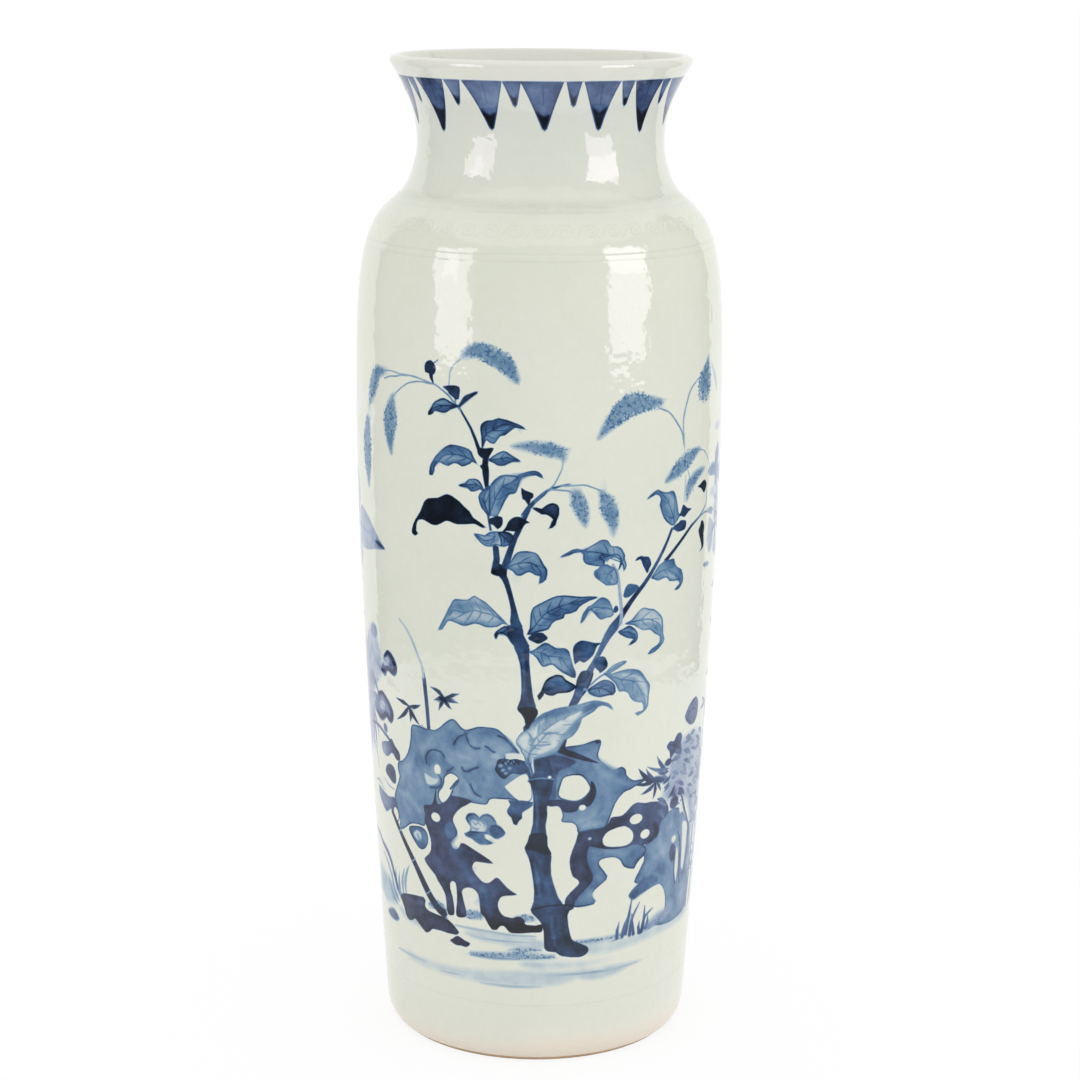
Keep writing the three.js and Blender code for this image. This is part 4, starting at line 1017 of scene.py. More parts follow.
def side_flowers(brush):
    """Three flowers on their branches, seen in full only from the sides of the vase."""
    for tone, heart, petals, branch in SIDE_FLOWERS:
        brush.stroke(branch, [1, 1.6, 2.2], 0.5, soft=0.7)
        for near, far in zip(branch[1:], branch[2:]):
            for side in (-1, 1):
                x, y = (near[0] + far[0]) / 2, (near[1] + far[1]) / 2
                blade(brush, (x, y), (x + side * rng.uniform(9, 13), y + rng.uniform(-5, 7)), 3.6,
                    tone + 0.16)
        for petal in petals:
            brush.wash(petal, tone, soft=0.9)
            brush.stroke([heart, np.mean(petal, axis=0)], [1.6, 0.4], tone + 0.16, soft=1)
        brush.blot(heart, 1.8, 1.8, tone + 0.28)
    brush.stroke([(-78.8, 240), (-82, 241), (-87, 242)], [0.8, 2.6, 0.6], 0.72, soft=1)
    brush.blot((97, 255.5), 4.5, 1.6, 0.46, soft=0.9, lean=-8, count=9)
    brush.blot((95, 230.3), 4, 1.2, 0.4, soft=0.9, lean=-5, count=9)
    brush.stroke([(85, 255), (91, 256), (100, 253)], [0.8, 0.9, 0.6], 0.4)
    brush.stroke([(87, 256), (91, 260.5), (91, 266)], [0.9, 0.9, 0.7], 0.3)
    brush.blot((101, 264), 6, 2.6, 0.14, soft=2, count=10)
    brush.blot((105, 294), 6, 2, 0.16, soft=2, count=10)
    brush.stroke([(94, 323), (98, 318), (101, 311)], [1, 3, 1], 0.24, soft=1.5)
    brush.stroke([(71.6, 276), (71, 264)], [0.9], 0.14)


def ground(brush):
    """Shores, grass and water, in pale washes dragged with a half-dry brush."""
    for tone, soft, points in WATER:
        brush.wash(points, tone, soft=soft)
    for line, widths, tone in (([(-41, 66.2), (-25, 65.7), (-8, 64.6), (0, 64.8)], [0.6, 1.2, 0.8], 0.36),
            ([(-33, 62.4), (-18, 61.6), (-2, 61.6)], [0.6, 1.3, 0.5], 0.26),
            ([(-85, 43.2), (-72, 43.5), (-60, 43.3)], [0.5, 1.4, 0.8], 0.24),
            ([(-51, 41.2), (-44, 41.3), (-38, 41.6)], [0.6, 1.8, 0.6], 0.27),
            ([(-28, 39.5), (-12, 39.2), (3, 39.4)], [0.6, 1.8, 0.6], 0.26),
            ([(5, 45.2), (14, 45.1), (26, 44.8), (38, 44.8)], [0.6, 1.8, 2.2, 0.8], 0.34),
            ([(30, 44), (42, 44.6), (56, 45.4)], [1, 1.8, 0.5], 0.24), ([(-33, 52.8), (-22, 52.8), (-8, 53)],
            [0.8, 1.6, 0.6], 0.46)):
        brush.stroke(line, widths, tone, soft=1.2, film=DRY_BRUSH)
    for line, width, tone in (([(-33, 53.6), (-20, 54.2), (-5, 54.6), (9, 54.2)], 3.6, 0.3),
            ([(-13, 57.2), (-6, 58), (2, 57.6)], 2.6, 0.24), ([(18, 61), (32, 60.6), (44, 61.4)], 2.8, 0.28),
            ([(58, 61), (70, 62.5), (84, 63)], 4, 0.34), ([(-36, 72.6), (-31, 73.2), (-27, 73)], 5, 0.26),
            ([(-10, 73), (-4, 73.6), (-1, 73.4)], 4, 0.24), ([(-56, 73), (-51, 74), (-47, 73)], 5, 0.24)):
        brush.stroke(line, [width * 0.5, width, width * 0.6], tone, soft=1.8)
        brush.stroke(line, [width * 0.7, width * 1.3, width * 0.8], 0.8, soft=1.8, film=STIPPLE)
    for k in range(7):
        blade(brush, (-36 + 1.5 * k, 71), (-37 + 1.7 * k, 76 + rng.uniform(-1, 1.5)), 1.1, 0.36)
    for root, tip in (((-79, 70), (-83, 85)), ((-78, 70), (-79, 84)), ((-76, 72), (-74, 87)),
            ((-74, 73), (-69.5, 90)), ((-81, 68), (-88, 82)), ((-83, 66), (-92, 78))):
        blade(brush, root, tip, 2.2, 0.42, 0.12)


def bank(brush):
    """The dark bank at the left with an island before it."""
    rock(brush, LEFT_BANK, 0.79, 0.88)
    brush.stroke([(-72, 72), (-66, 71.5), (-61, 73)], [1, 3, 1], 0.68, soft=2)
    brush.wash(ISLAND, 0.86)
    brush.wash(FAR_BANK, 0.7, soft=1.6)


# Pale washes of the water: tone, how far the edge fades, outline
WATER = [(0.13, 1.6, [(-41, 66.4), (-30, 66.3), (-12, 64.8), (0, 64), (0, 62.8), (-15, 63.2), (-30, 64.6)]),
    (0.13, 2, [(-36, 64), (-20, 63.6), (-4, 63), (4, 62), (4, 58.8), (-10, 59.2), (-25, 60.4), (-33, 61.6)]),
    (0.13, 3, [(-80, 44.2), (-60, 44.6), (-40, 45), (-20, 46.6), (0, 47.2), (10, 46.2), (20, 43), (8, 39.8),
    (-10, 39.5), (-40, 40), (-60, 40.6), (-74, 41.6)]), (0.17, 2.4, [(5, 45.4), (20, 46.8), (37, 47),
    (48, 46.2), (58, 45.6), (50, 44.4), (42, 42.2), (30, 41.2), (20, 42.8), (10, 44.2)]),
    (0.14, 3, [(-8, 51.5), (4, 52), (16, 51.2), (30, 50.6), (40, 50.4), (30, 48.8), (10, 48.4), (-4, 49)]),
    (0.12, 3, [(18, 59), (50, 59.6), (104, 60.4), (104, 57), (80, 56), (50, 55), (28, 54)]),
    (0.16, 3, [(-82, 66), (-74, 64), (-60, 63), (-58, 60.5), (-66, 60.5), (-78, 62)]),
    (0.26, 4, [(-106, 80), (-96, 78), (-86, 74), (-82, 69), (-88, 65), (-98, 64), (-108, 68)])]


def right_grasses(brush):
    for root, bend, tip in (((47, 61), (48.5, 70), (50, 79)), ((49.5, 60), (50.5, 68), (55, 75.5)),
            ((57, 60), (59, 67), (64.5, 70.5)), ((58, 62), (58.5, 68), (58.5, 73)),
            ((42, 60), (42, 64), (43, 68)), ((45, 60), (46, 65), (48, 70)), ((60, 61), (61, 64.5), (61, 68)),
            ((52, 60), (51, 65), (50, 71)), ((55.5, 60), (55, 63), (55.5, 66))):
        brush.stroke([root, bend, tip], [2, 1.7, 0.3], [0.76, 0.72, 0.55], soft=0.6)
    brush.stroke([(61, 62), (68, 64), (78, 65)], [3, 5, 5], 0.36, soft=3)


def collar(brush):
    """The band of hanging triangles under the lip: fifteen large ones, and a small one in each gap."""
    large = COLLAR_LARGE + [(c - 12, c + 12, c, 0.62) for c in np.linspace(102, 397, 10)[1:-1]]
    small = COLLAR_SMALL + [(c - 4, c + 4, c) for c in np.linspace(118, 381, 9)]
    for left, right, tip, tone in large:
        hanging_triangle(brush, left, right, tip, 428 if tone > 0.7 else 429.6, tone)
        middle = (left + right) / 2
        brush.stroke([(middle + 0.3, COLLAR_TOP - 1), ((middle + tip) / 2, 441)], [0.6, 0.4],
            min(tone + 0.14, 1))
    for left, right, tip in small:
        hanging_triangle(brush, left, right, tip, 440, 0.6)


COLLAR_TOP = 450.8
# Large triangles of the front: left and right at the top, tip, tone. Then the small ones, all of one tone.
COLLAR_LARGE = [(-118, -93, -103, 0.62), (-81, -58.5, -68, 0.72), (-44.5, -21.5, -30.5, 0.59),
    (-10.5, 12, 2.4, 0.62), (24, 45, 36.5, 0.6), (56, 78, 70, 0.74), (89, 115, 103, 0.62)]
COLLAR_SMALL = [(-92, -84, -87), (-57, -46.5, -51.5), (-20.5, -11, -15), (14, 22, 19), (46.5, 54.5, 52.3),
    (79, 87, 84.5)]


def hanging_triangle(brush, left, right, tip, low, tone):
    """A hanging triangle: a flat wash with drawn sides, and a blunt, almost black tip laid over it."""
    fall = COLLAR_TOP - low
    blunt = 0.03 * fall + 0.7

    def side(edge, share):
        out = blunt if edge > tip else -blunt
        return edge + (tip + out - edge) * share, COLLAR_TOP - (fall - 1) * share

    outline = [(left, COLLAR_TOP), (right, COLLAR_TOP), side(right, 0.5), side(right, 1), (tip, low),
        side(left, 1), side(left, 0.5)]
    brush.wash(outline, tone, curved=False, pool=0.07)
    high, drop, far = 0.56 + rng.uniform(-0.06, 0.06), rng.uniform(0.06, 0.16), rng.uniform(0, 0.1)
    middle = ((left + right) / 2 * (1 - high - drop) + tip * (high + drop), COLLAR_TOP - fall * (high + drop))
    dark = [side(left, high), middle, side(right, high + far), side(right, 1), (tip, low), side(left, 1)]
    brush.wash(dark, 0.98, soft=1.5, curved=False)
    for edge in (left, right):
        brush.stroke([(edge, COLLAR_TOP - 0.3), side(edge, 0.5), side(edge, 1)], [0.4, 0.7, 0.7],
            min(tone + 0.17, 1))
    brush.stroke([(left, COLLAR_TOP), (right, COLLAR_TOP)], [0.8], min(tone + 0.08, 1))


def incised_lines_and_neck_shade(brush):
    """Rings and a band of wave scrolls, cut into the clay with a point before glazing, and a soft ring of
    painted shade in the hollow at the root of the neck.
    """
    for height, width, amount in INCISED_RINGS_AND_NECK_SHADE:
        brush.stroke([(a, height) for a in np.linspace(-HALF_ROUND + 1, HALF_ROUND - 1, 144)], [width],
            amount, soft=width, film=INCISED_AND_NECK_SHADE)
    count = round(2 * HALF_ROUND / SCROLL_STEP)
    step = 2 * HALF_ROUND / count
    for k in range(count):
        x = -HALF_ROUND + (k + 0.5) * step
        brush.stroke([(x + across * step, SCROLL_HEIGHT + up) for across, up in SCROLL], [0.6], 0.55,
            soft=0.6, film=INCISED_AND_NECK_SHADE)


# One wave scroll, from its tail round to its heart: shares of a step across, and how far up.
SCROLL = [(-0.66, -2.5), (-0.5, -1.6), (-0.36, 0.8), (-0.12, 2.4), (0.16, 2.3), (0.32, 0.4), (0.22, -1.7),
    (-0.02, -2.3), (-0.2, -1.1), (-0.12, 0.7), (0.06, 0.9), (0.12, -0.3), (0.02, -0.8)]
# Rings cut into the clay: height, width, how deep. The highest is no cut ring but painted shade: a soft
# darker band, with a slight bump, in the hollow at the root of the neck.
INCISED_RINGS_AND_NECK_SHADE = ((29.5, 0.5, 0.6), (375.1, 0.6, 0.6), (378, 0.6, 0.7), (395.2, 0.6, 0.35), (398.6, 2.2, 1))
SCROLL_HEIGHT = 387.4
SCROLL_STEP = 11.6


def paint_front():
    brush = Brush()
    for motif, violet in ((incised_lines_and_neck_shade, 0), (collar, 0.6), (ground, 0), (bank, 0.8), (left_thicket, 1),
            (side_flowers, 0.7), (bamboo, 0.4), (arch_rock, 0.15), (right_thicket, 0.8), (right_rock, 0.1),
            (left_rock, 0.08), (peony, 0.1), (right_grasses, 0.5), (leaning_tree, 0.4), (trunk, 0),
            (foliage, 0)):
        brush.violet = violet
        motif(brush)


def paint_back():
    """The garden goes on round the back: the same motifs, turned about, set apart and fewer."""
    rocks = Brush(HALF_ROUND + 12, 0, -1)
    side = Brush(HALF_ROUND - 4, 0, -1)
    tree = Brush(HALF_ROUND - 6, -6, -1)
    for brush, motif, violet in ((rocks, ground, 0), (side, bank, 0.8), (side, bamboo, 0.4),
            (rocks, arch_rock, 0.15), (rocks, right_rock, 0.1), (side, left_rock, 0.08), (side, peony, 0.1),
            (tree, leaning_tree, 0.4), (tree, trunk, 0.15), (tree, foliage, 0)):
        brush.violet = violet
        motif(brush)


def wall_places(along, measure):
    """Places and outward normals on the vase for rows of paint coordinates."""
    radius, height, out, rise = OUTSIDE.at(measure)
    a = along / PAINT_RADIUS
    places = np.stack([radius * np.sin(a), -radius * np.cos(a), height], axis=1) * MM
    normals = np.stack([out * np.sin(a), -out * np.cos(a), rise], axis=1)
    return places, normals


def row_measures():
    """Measures of the rows of the wall's own mesh, closer together where the outline turns faster."""
    fine = np.linspace(OUTSIDE.measure[0], OUTSIDE.measure[-1], 4000)
    out, rise = OUTSIDE.at(fine)[2:]
    turning = np.abs(np.gradient(np.unwrap(np.arctan2(rise, out))))
    weight = np.cumsum(np.gradient(fine) / ROW_STEP + turning / TURN_STEP)
    rows = round(weight[-1])
    return np.interp(np.linspace(weight[0], weight[-1], rows + 1), weight, fine)


def clear_of(points, others, gap):
    """Which of the points have none of the others within about a gap."""
    taken = set()
    for x, y in np.floor(others / gap).astype(int):
        taken.update((x + i, y + j) for i in (-1, 0, 1) for j in (-1, 0, 1))
    cells = np.floor(points / gap).astype(int)
    return np.array([(x, y) not in taken for x, y in cells])


def on_wall(points, margin):
    """Which of the points lie inside the sheet of paint coordinates, by a margin."""
    along, up = points.T
    low, high = OUTSIDE.measure[0] + margin, OUTSIDE.measure[-1] - margin
    return (np.abs(along) < HALF_ROUND - 3 * margin) & (up > low) & (up < high)


# Drawn lines stop this far from the sheet's border. Places of the plain grid keep clear of them by the gap.
BORDER = 0.12
GRID_BORDER = 0.03
GRID_GAP = 0.5
SAME_PLACE = 1e-4


def painted_mesh():
    """Vertices in paint coordinates, and triangles, that follow every edge of the brushwork."""
    lines = []
    for line, closed in guides:
        if closed:
            line = np.vstack([line, line[:1]])
        runs = np.split(line, np.flatnonzero(~on_wall(line, BORDER)))
        lines += [run for run in [runs[0], *[run[1:] for run in runs[1:]]] if len(run) > 1]
    starts = np.cumsum([0] + [len(line) for line in lines])
    edges = [(i, i + 1) for start, line in zip(starts, lines) for i in range(start, start + len(line) - 1)]
    drawn = np.vstack([*lines, *dots])
    drawn = drawn[on_wall(drawn, BORDER)]
    columns = np.linspace(-HALF_ROUND, HALF_ROUND, COLUMNS + 1)
    grid = np.array([(u, v) for v in row_measures() for u in columns])
    keep = ~on_wall(grid, GRID_BORDER)
    keep[~keep] = clear_of(grid[~keep], drawn, GRID_GAP)
    points = [Vector(p) for p in np.vstack([drawn, grid[keep]])]
    made, _, faces, *_ = delaunay_2d_cdt(points, edges, [], 0, SAME_PLACE, False)
    return np.array([tuple(p) for p in made]), faces


def amounts_at(places):
    """How much of each film of paint lies at places, and how violet the paint is."""
    amount = np.zeros((len(places), VIOLET + 1))
    order = np.argsort(places[:, 1])
    heights = places[order, 1]
    for film, low, high, shift, paint, violet in layers:
        first, last = np.searchsorted(heights, (low[1], high[1]))
        rows = order[first:last]
        near = rows[(places[rows, 0] > low[0]) & (places[rows, 0] < high[0])]
        if len(near):
            cover, tone = paint(places[near] - shift)
            amount[near, film] = amount[near, film] * (1 - cover) + tone * cover
            if film != INCISED_AND_NECK_SHADE:
                amount[near, VIOLET] = amount[near, VIOLET] * (1 - cover) + violet * cover
    return np.clip(amount, 0, 1)


def link(mesh, name, material):
    """Makes a piece of the part from a mesh."""
    piece = bpy.data.objects.new(name, mesh)
    scene.collection.objects.link(piece)
    mesh.materials.append(material)
    mesh.polygons.foreach_set("use_smooth", [True] * len(mesh.polygons))
    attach(piece, BODY)
    return piece


def spun(points, name):
    """A mesh: an outline of (radius, height) points, in millimetres, turned about the vase's axis."""
    bm = bmesh.new()
    line = [bm.verts.new((0, p[0] * MM, p[1] * MM)) for p in points]
    edges = [bm.edges.new(pair) for pair in zip(line, line[1:])]
    bmesh.ops.spin(bm, geom=line + edges, axis=(0, 0, 1), cent=(0, 0, 0), angle=2 * math.pi, steps=COLUMNS,
        use_merge=True)
    bmesh.ops.remove_doubles(bm, verts=bm.verts, dist=1e-6)
    bmesh.ops.recalc_face_normals(bm, faces=bm.faces)
    mesh = bpy.data.meshes.new(name)
    bm.to_mesh(mesh)
    bm.free()
    return mesh


def around_axis(place):
    return math.atan2(place.x, -place.y)


# Shares of the unwrapped sheet's height: the outside takes up the first, and the lining starts at the second.
OUTER_SHEET = 0.94
INNER_SHEET = 0.95


def glazed_outside(material):
    """The outside coat of glaze, as one skin whose mesh follows the painting, closed on its inner side."""
    flat, faces = painted_mesh()
    places, normals = wall_places(flat[:, 0], flat[:, 1])
    mesh = bpy.data.meshes.new("outside_glaze")
    mesh.from_pydata(places.tolist(), [], faces)
    paint = mesh.attributes.new("brushwork", "FLOAT_COLOR", "POINT")
    amounts = amounts_at(flat)
    paint.data.foreach_set("color", amounts[:, :VIOLET].ravel())
    undertone = mesh.attributes.new("undertone", "FLOAT", "POINT")
    undertone.data.foreach_set("value", amounts[:, VIOLET].copy())
    facing = mesh.attributes.new("facing", "FLOAT_VECTOR", "POINT")
    facing.data.foreach_set("vector", normals.ravel())
    corners = np.empty(len(mesh.loops), int)
    mesh.loops.foreach_get("vertex_index", corners)
    top, bottom = OUTSIDE.measure[-1], OUTSIDE.measure[0]
    up = (flat[:, 1] - bottom) / (top - bottom) * OUTER_SHEET
    unwrapped = np.stack([(flat[:, 0] / HALF_ROUND + 1) / 2, up], axis=1)
    layout = mesh.uv_layers.new(name="OFBake")
    layout.data.foreach_set("uv", unwrapped[corners].ravel())

    rows = row_measures()
    rows = np.append(rows[:-2:2], top)
    depths = np.full(len(rows), GLAZE)
    depths[[0, -1]] = 0
    radius, height, out, rise = OUTSIDE.at(rows)
    lining = spun(np.stack([radius - out * depths, height - rise * depths], axis=1), "lining")
    bm = bmesh.new()
    bm.from_mesh(mesh)
    outer_faces = len(bm.faces)
    bm.from_mesh(lining)
    bpy.data.meshes.remove(lining)
    bm.faces.ensure_lookup_table()
    uv = bm.loops.layers.uv["OFBake"]
    for face in bm.faces[outer_faces:]:
        centre = around_axis(face.calc_center_median())
        for loop in face.loops:
            a = around_axis(loop.vert.co)
            a += 2 * math.pi * round((centre - a) / (2 * math.pi))
            up = INNER_SHEET + (1 - INNER_SHEET) * loop.vert.co.z / (CREST * MM)
            loop[uv].uv = ((a / math.pi + 1) / 2, up)
    bmesh.ops.remove_doubles(bm, verts=bm.verts, dist=2e-6)
    bmesh.ops.recalc_face_normals(bm, faces=bm.faces)
    bm.to_mesh(mesh)
    bm.free()
    piece = link(mesh, "outside_glaze_painted", material)
    shaded = np.empty(len(mesh.vertices) * 3)
    mesh.attributes["facing"].data.foreach_get("vector", shaded)
    shaded = shaded.reshape(-1, 3)
    rounded = np.array([tuple(v.normal) for v in mesh.vertices])
    known = np.linalg.norm(shaded, axis=1) > 0.5
    rounded[known] = shaded[known]
    mesh.normals_split_custom_set_from_vertices(rounded.tolist())
    mesh.attributes.remove(mesh.attributes["facing"])
    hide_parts("outside_glaze")


def inside_outline(depth):
    """The inside from the axis over the floor and up to the crest of the lip, at a depth under its glaze."""
    wall = [inside_point(place[:2], place[2:], depth) for place in zip(*OUTSIDE.at(INSIDE_HEIGHTS))]
    level = FLOOR_HEIGHT + GLAZE + COAT_GAP - depth
    turn = Vector((wall[0].x - FLOOR_FILLET, level))
    angles = range(180 - LIP_LEAN - INSIDE_LIP_STEP, 90, -INSIDE_LIP_STEP)
    lip = [on_lip(angle, depth) for angle in (*angles, 90)]
    return [Vector((0, level)), turn, *stretch(turn, 90, 7, wall[0], 0, 7, 8), *wall[1:], *lip]


def glazed_inside(material):
    shell = [*inside_outline(0), *inside_outline(GLAZE)[::-1]]
    piece = link(spun(shell, "inside_glaze_fine"), "inside_glaze_fine", material)
    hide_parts("inside_glaze")


def bare_foot(material):
    """The base with its bare, turned foot. The tool left shallow rings in the recess under it."""
    inner = FOOT_RADIUS - TREAD_WIDTH
    rings = np.arange(1, inner - RECESS_SLOPE - 1, 0.9)
    waves = 0.07 * np.sin(2.1 * rings) + 0.04 * np.sin(0.8 * rings)
    recess = [(0, RECESS_DEPTH), *zip(rings, RECESS_DEPTH + waves)]
    tread = [(inner - RECESS_SLOPE, RECESS_DEPTH), (inner - 0.6, 0.55), (inner - 0.2, 0.15),
        (inner + 0.5, 0), (FOOT_RADIUS - 0.5, 0), (FOOT_RADIUS + 0.1, 0.15), (FOOT_RADIUS + 0.45, 0.45)]
    clay = GLAZE + COAT_GAP
    heights = np.linspace(GLAZE_LINE.y, BASE_SEAM - SLIP / 2, 16)
    outside = [(r - o * clay, h - i * clay) for r, h, o, i in zip(*OUTSIDE.at(heights))]
    inside = [p for p in inside_outline(clay) if p.y < BASE_SEAM - SLIP / 2]
    profile = [*recess, *tread, *outside, (inside[-1].x, BASE_SEAM - SLIP / 2), *inside[::-1]]
    piece = link(spun(profile, "bare_foot"), "bare_foot", material)
    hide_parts("base_and_foot")


INSIDE_HEIGHTS = np.linspace(25, 455.9, 100)


# Finishes
def colour(red, green, blue):
    """A colour given as it looks on a screen, from 0 to 255."""
    linear = [c / 255 / 12.92 if c < 11 else ((c / 255 + 0.055) / 1.055) ** 2.4 for c in (red, green, blue)]
    return (*linear, 1)


def add(tree, kind, values=None, **settings):
    """Adds a node. A value is a number or colour for its socket, or another node's output to join to it."""
    node = tree.nodes.new("ShaderNode" + kind)
    for key, value in settings.items():
        setattr(node, key, value)
    for key, value in (values or {}).items():
        if isinstance(value, bpy.types.NodeSocket):
            tree.links.new(value, node.inputs[key])
        else:
            node.inputs[key].default_value = value
    return node


def maths(operation, a, b=0.0, c=0.0, clamp=False):
    joined = a if isinstance(a, bpy.types.NodeSocket) else b
    return add(joined.id_data, "Math", {0: a, 1: b, 2: c}, operation=operation, use_clamp=clamp).outputs[0]


def product(a, b, plus=None, clamp=False):
    """a times b, plus a third value where there is one."""
    operation = "MULTIPLY" if plus is None else "MULTIPLY_ADD"
    return maths(operation, a, b, 0.0 if plus is None else plus, clamp)


def noise(place, scale, detail=3.0, roughness=0.5, squeeze=None):
    """A noise value. squeeze scales the place first, so that the pattern stretches."""
    tree = place.id_data
    if squeeze:
        place = add(tree, "Mapping", {"Vector": place, "Scale": squeeze}).outputs[0]
    return add(tree, "TexNoise", {"Vector": place, "Scale": scale, "Detail": detail,
        "Roughness": roughness}).outputs["Fac"]


def ramp(value, stops):
    """A row of colours, each at its place from 0 to 1."""
    node = add(value.id_data, "ValToRGB", {"Fac": value})
    points = node.color_ramp.elements
    for number, (place, shade) in enumerate(stops):
        point = points[number] if number < 2 else points.new(place)
        point.position = place
        point.color = shade
    return node.outputs["Color"]


def mixed(share, a, b, blend="MIX"):
    node = add(a.id_data, "Mix", {0: share, 6: a, 7: b}, data_type="RGBA", blend_type=blend)
    return node.outputs[2]


def group(name, outputs):
    """A new shader group that takes a place on the vase and puts out values."""
    tree = bpy.data.node_groups.new(name, "ShaderNodeTree")
    tree.interface.new_socket("Place", in_out="INPUT", socket_type="NodeSocketVector")
    for output in outputs:
        tree.interface.new_socket(output, in_out="OUTPUT", socket_type="NodeSocketFloat")
    start, end = tree.nodes.new("NodeGroupInput"), tree.nodes.new("NodeGroupOutput")
    return tree, start.outputs["Place"], end


def put_out(tree, end, **values):
    for name, value in values.items():
        tree.links.new(value, end.inputs[name])
    return tree


def glaze_character():
    """What fire does to a glaze: soft mottling, iron specks, and a skin that isn't quite even."""
    tree, place, end = group("glaze_character", ("Mottle", "Specks", "Ripple"))
    cloud = noise(place, 22, 3)
    fine = noise(place, 260, 2)
    mottle = product(fine, 0.3, product(cloud, 0.7))
    cells = add(tree, "TexVoronoi", {"Vector": place, "Scale": 62, "Randomness": 1})
    chance = add(tree, "SeparateColor", {"Color": cells.outputs["Color"]})
    size = product(maths("SUBTRACT", chance.outputs[0], 0.86, clamp=True), 0.2)
    inside = maths("SUBTRACT", size, cells.outputs["Distance"])
    specks = product(inside, 260, clamp=True)
    swell = noise(place, 34, 1.5, squeeze=(1, 1, 1.7))
    wave = noise(place, 110, 2)
    peel = noise(place, 300, 1)
    pits = noise(place, 1300, 0)
    ripple = product(peel, 0.03, product(swell, 0.9))
    ripple = product(pits, 0.002, product(wave, 0.9, ripple))
    return put_out(tree, end, Mottle=mottle, Specks=specks, Ripple=ripple)


def clay_grain():
    """Bare fired clay: grit, pits and the drag of the turning tool."""
    tree, place, end = group("clay_grain", ("Grain", "Grit", "Height"))
    grain = noise(place, 420, 6, 0.65)
    cloud = noise(place, 60, 3)
    grit = maths("GREATER_THAN", noise(place, 1500, 1), 0.69)
    drag = noise(place, 900, 2, squeeze=(0.05, 0.05, 1))
    mixture = product(grain, 0.5, product(cloud, 0.5))
    height = maths("ADD", product(grain, 0.7), product(drag, 0.5))
    return put_out(tree, end, Grain=mixture, Grit=grit, Height=height)


def new_material(name, roughness):
    made = bpy.data.materials.new(name)
    made.use_nodes = True
    tree = made.node_tree
    shader = tree.nodes["Principled BSDF"]
    shader.inputs["Roughness"].default_value = roughness
    shader.inputs["IOR"].default_value = PORCELAIN_IOR
    place = add(tree, "TexCoord").outputs["Object"]
    return made, tree, shader, place


def finish_shader(tree, shader, base, height, distance):
    tree.links.new(base, shader.inputs["Base Color"])
    bump = add(tree, "Bump", {"Height": height, "Strength": 1, "Distance": distance})
    tree.links.new(bump.outputs[0], shader.inputs["Normal"])


def place_group(tree, made_group, place):
    node = tree.nodes.new("ShaderNodeGroup")
    node.node_tree = made_group
    tree.links.new(place, node.inputs["Place"])
    return node.outputs


def glaze_base(place, effects):
    """The glaze's colour by height, partly its own tint and partly painted light: greenish grey, paler and
    warmer low down where painted bounce light from the floor is laid in with a warm tint, a little darker
    just under the lip, and buff at the bare foot.
    """
    height = add(place.id_data, "SeparateXYZ", {0: place}).outputs[2]
    share = maths("DIVIDE", height, CREST * MM)
    base = ramp(share, GLAZE_TINT_AND_PAINTED_LIGHT)
    tint = ramp(effects["Mottle"], [(0.3, colour(247, 249, 247)), (0.7, colour(255, 255, 255))])
    base = mixed(1.0, base, tint, "MULTIPLY")
    wander = noise(place, 40, 3)
    flush = maths("SUBTRACT", product(wander, 0.02, 0.003), height)
    flush = product(flush, 130, clamp=True)
    base = mixed(product(flush, 0.6), base, FOOT_FLUSH)
    return mixed(product(effects["Specks"], 0.75), base, IRON_SPECK)


def cobalt_tone(place, films):
    """One tone from the three films of paint: pooled washes, stippling and dry-brushed lines."""
    pooled = noise(place, 150, 5, 0.55)
    broad = noise(place, 48, 4, 0.6)
    grain = noise(place, 1300, 2)
    overlap = product(noise(place, 85, 2, 0.4), 12, -5.6, clamp=True)
    cobalt = films[0]
    room = product(cobalt, maths("SUBTRACT", 1.12, cobalt))
    shift = product(pooled, 1.4, product(broad, 1.2))
    shift = product(grain, 0.35, shift)
    shift = product(overlap, 0.22, shift)
    shift = maths("SUBTRACT", shift, 1.585)
    wash = product(shift, room, cobalt)
    dots = noise(place, 900, 1)
    dabs = noise(place, 420, 2)
    stipple = product(dots, -3.4, product(films[1], 3), clamp=True)
    stipple = product(stipple, product(dabs, 0.9, 0.06))
    streak = noise(place, 120, 4, 0.6, (0.12, 0.12, 3))
    dragged = product(films[2], product(streak, 2.6, -0.35))
    return maths("MAXIMUM", wash, maths("MAXIMUM", stipple, dragged), clamp=True)


def blues(tone, tones):
    """How much of the bare glaze's colour a tone of cobalt lets through."""
    return ramp(tone, [(at, [a / b for a, b in zip(colour(*seen), colour(*BARE))]) for at, seen in tones])


def painted_glaze(character):
    """Pale glaze over cobalt painting and lines cut into the clay, with painted shade in the hollow at the
    root of the neck.
    """
    made, tree, shader, place = new_material("painted_glaze", 0.06)
    effects = place_group(tree, character, place)
    paint = add(tree, "Attribute", attribute_name="brushwork")
    films = add(tree, "SeparateColor", {"Color": paint.outputs["Color"]}).outputs
    incised_line_and_neck_shade = paint.outputs["Alpha"]
    base = glaze_base(place, effects)
    # Glaze pools and goes darker in the cut lines. In the ring at the root of the neck, this darkening is
    # painted shade.
    base = mixed(product(incised_line_and_neck_shade, 0.22), base, POOLED_GLAZE_AND_NECK_SHADE)
    tone = cobalt_tone(place, films)
    violet = add(tree, "Attribute", attribute_name="undertone").outputs["Fac"]
    blue = mixed(violet, blues(tone, CLEAR_BLUES), blues(tone, VIOLET_BLUES))
    base = mixed(1.0, base, blue, "MULTIPLY")
    height = maths("SUBTRACT", effects["Ripple"], product(incised_line_and_neck_shade, 0.3))
    finish_shader(tree, shader, base, height, RIPPLE_DEPTH)
    return made


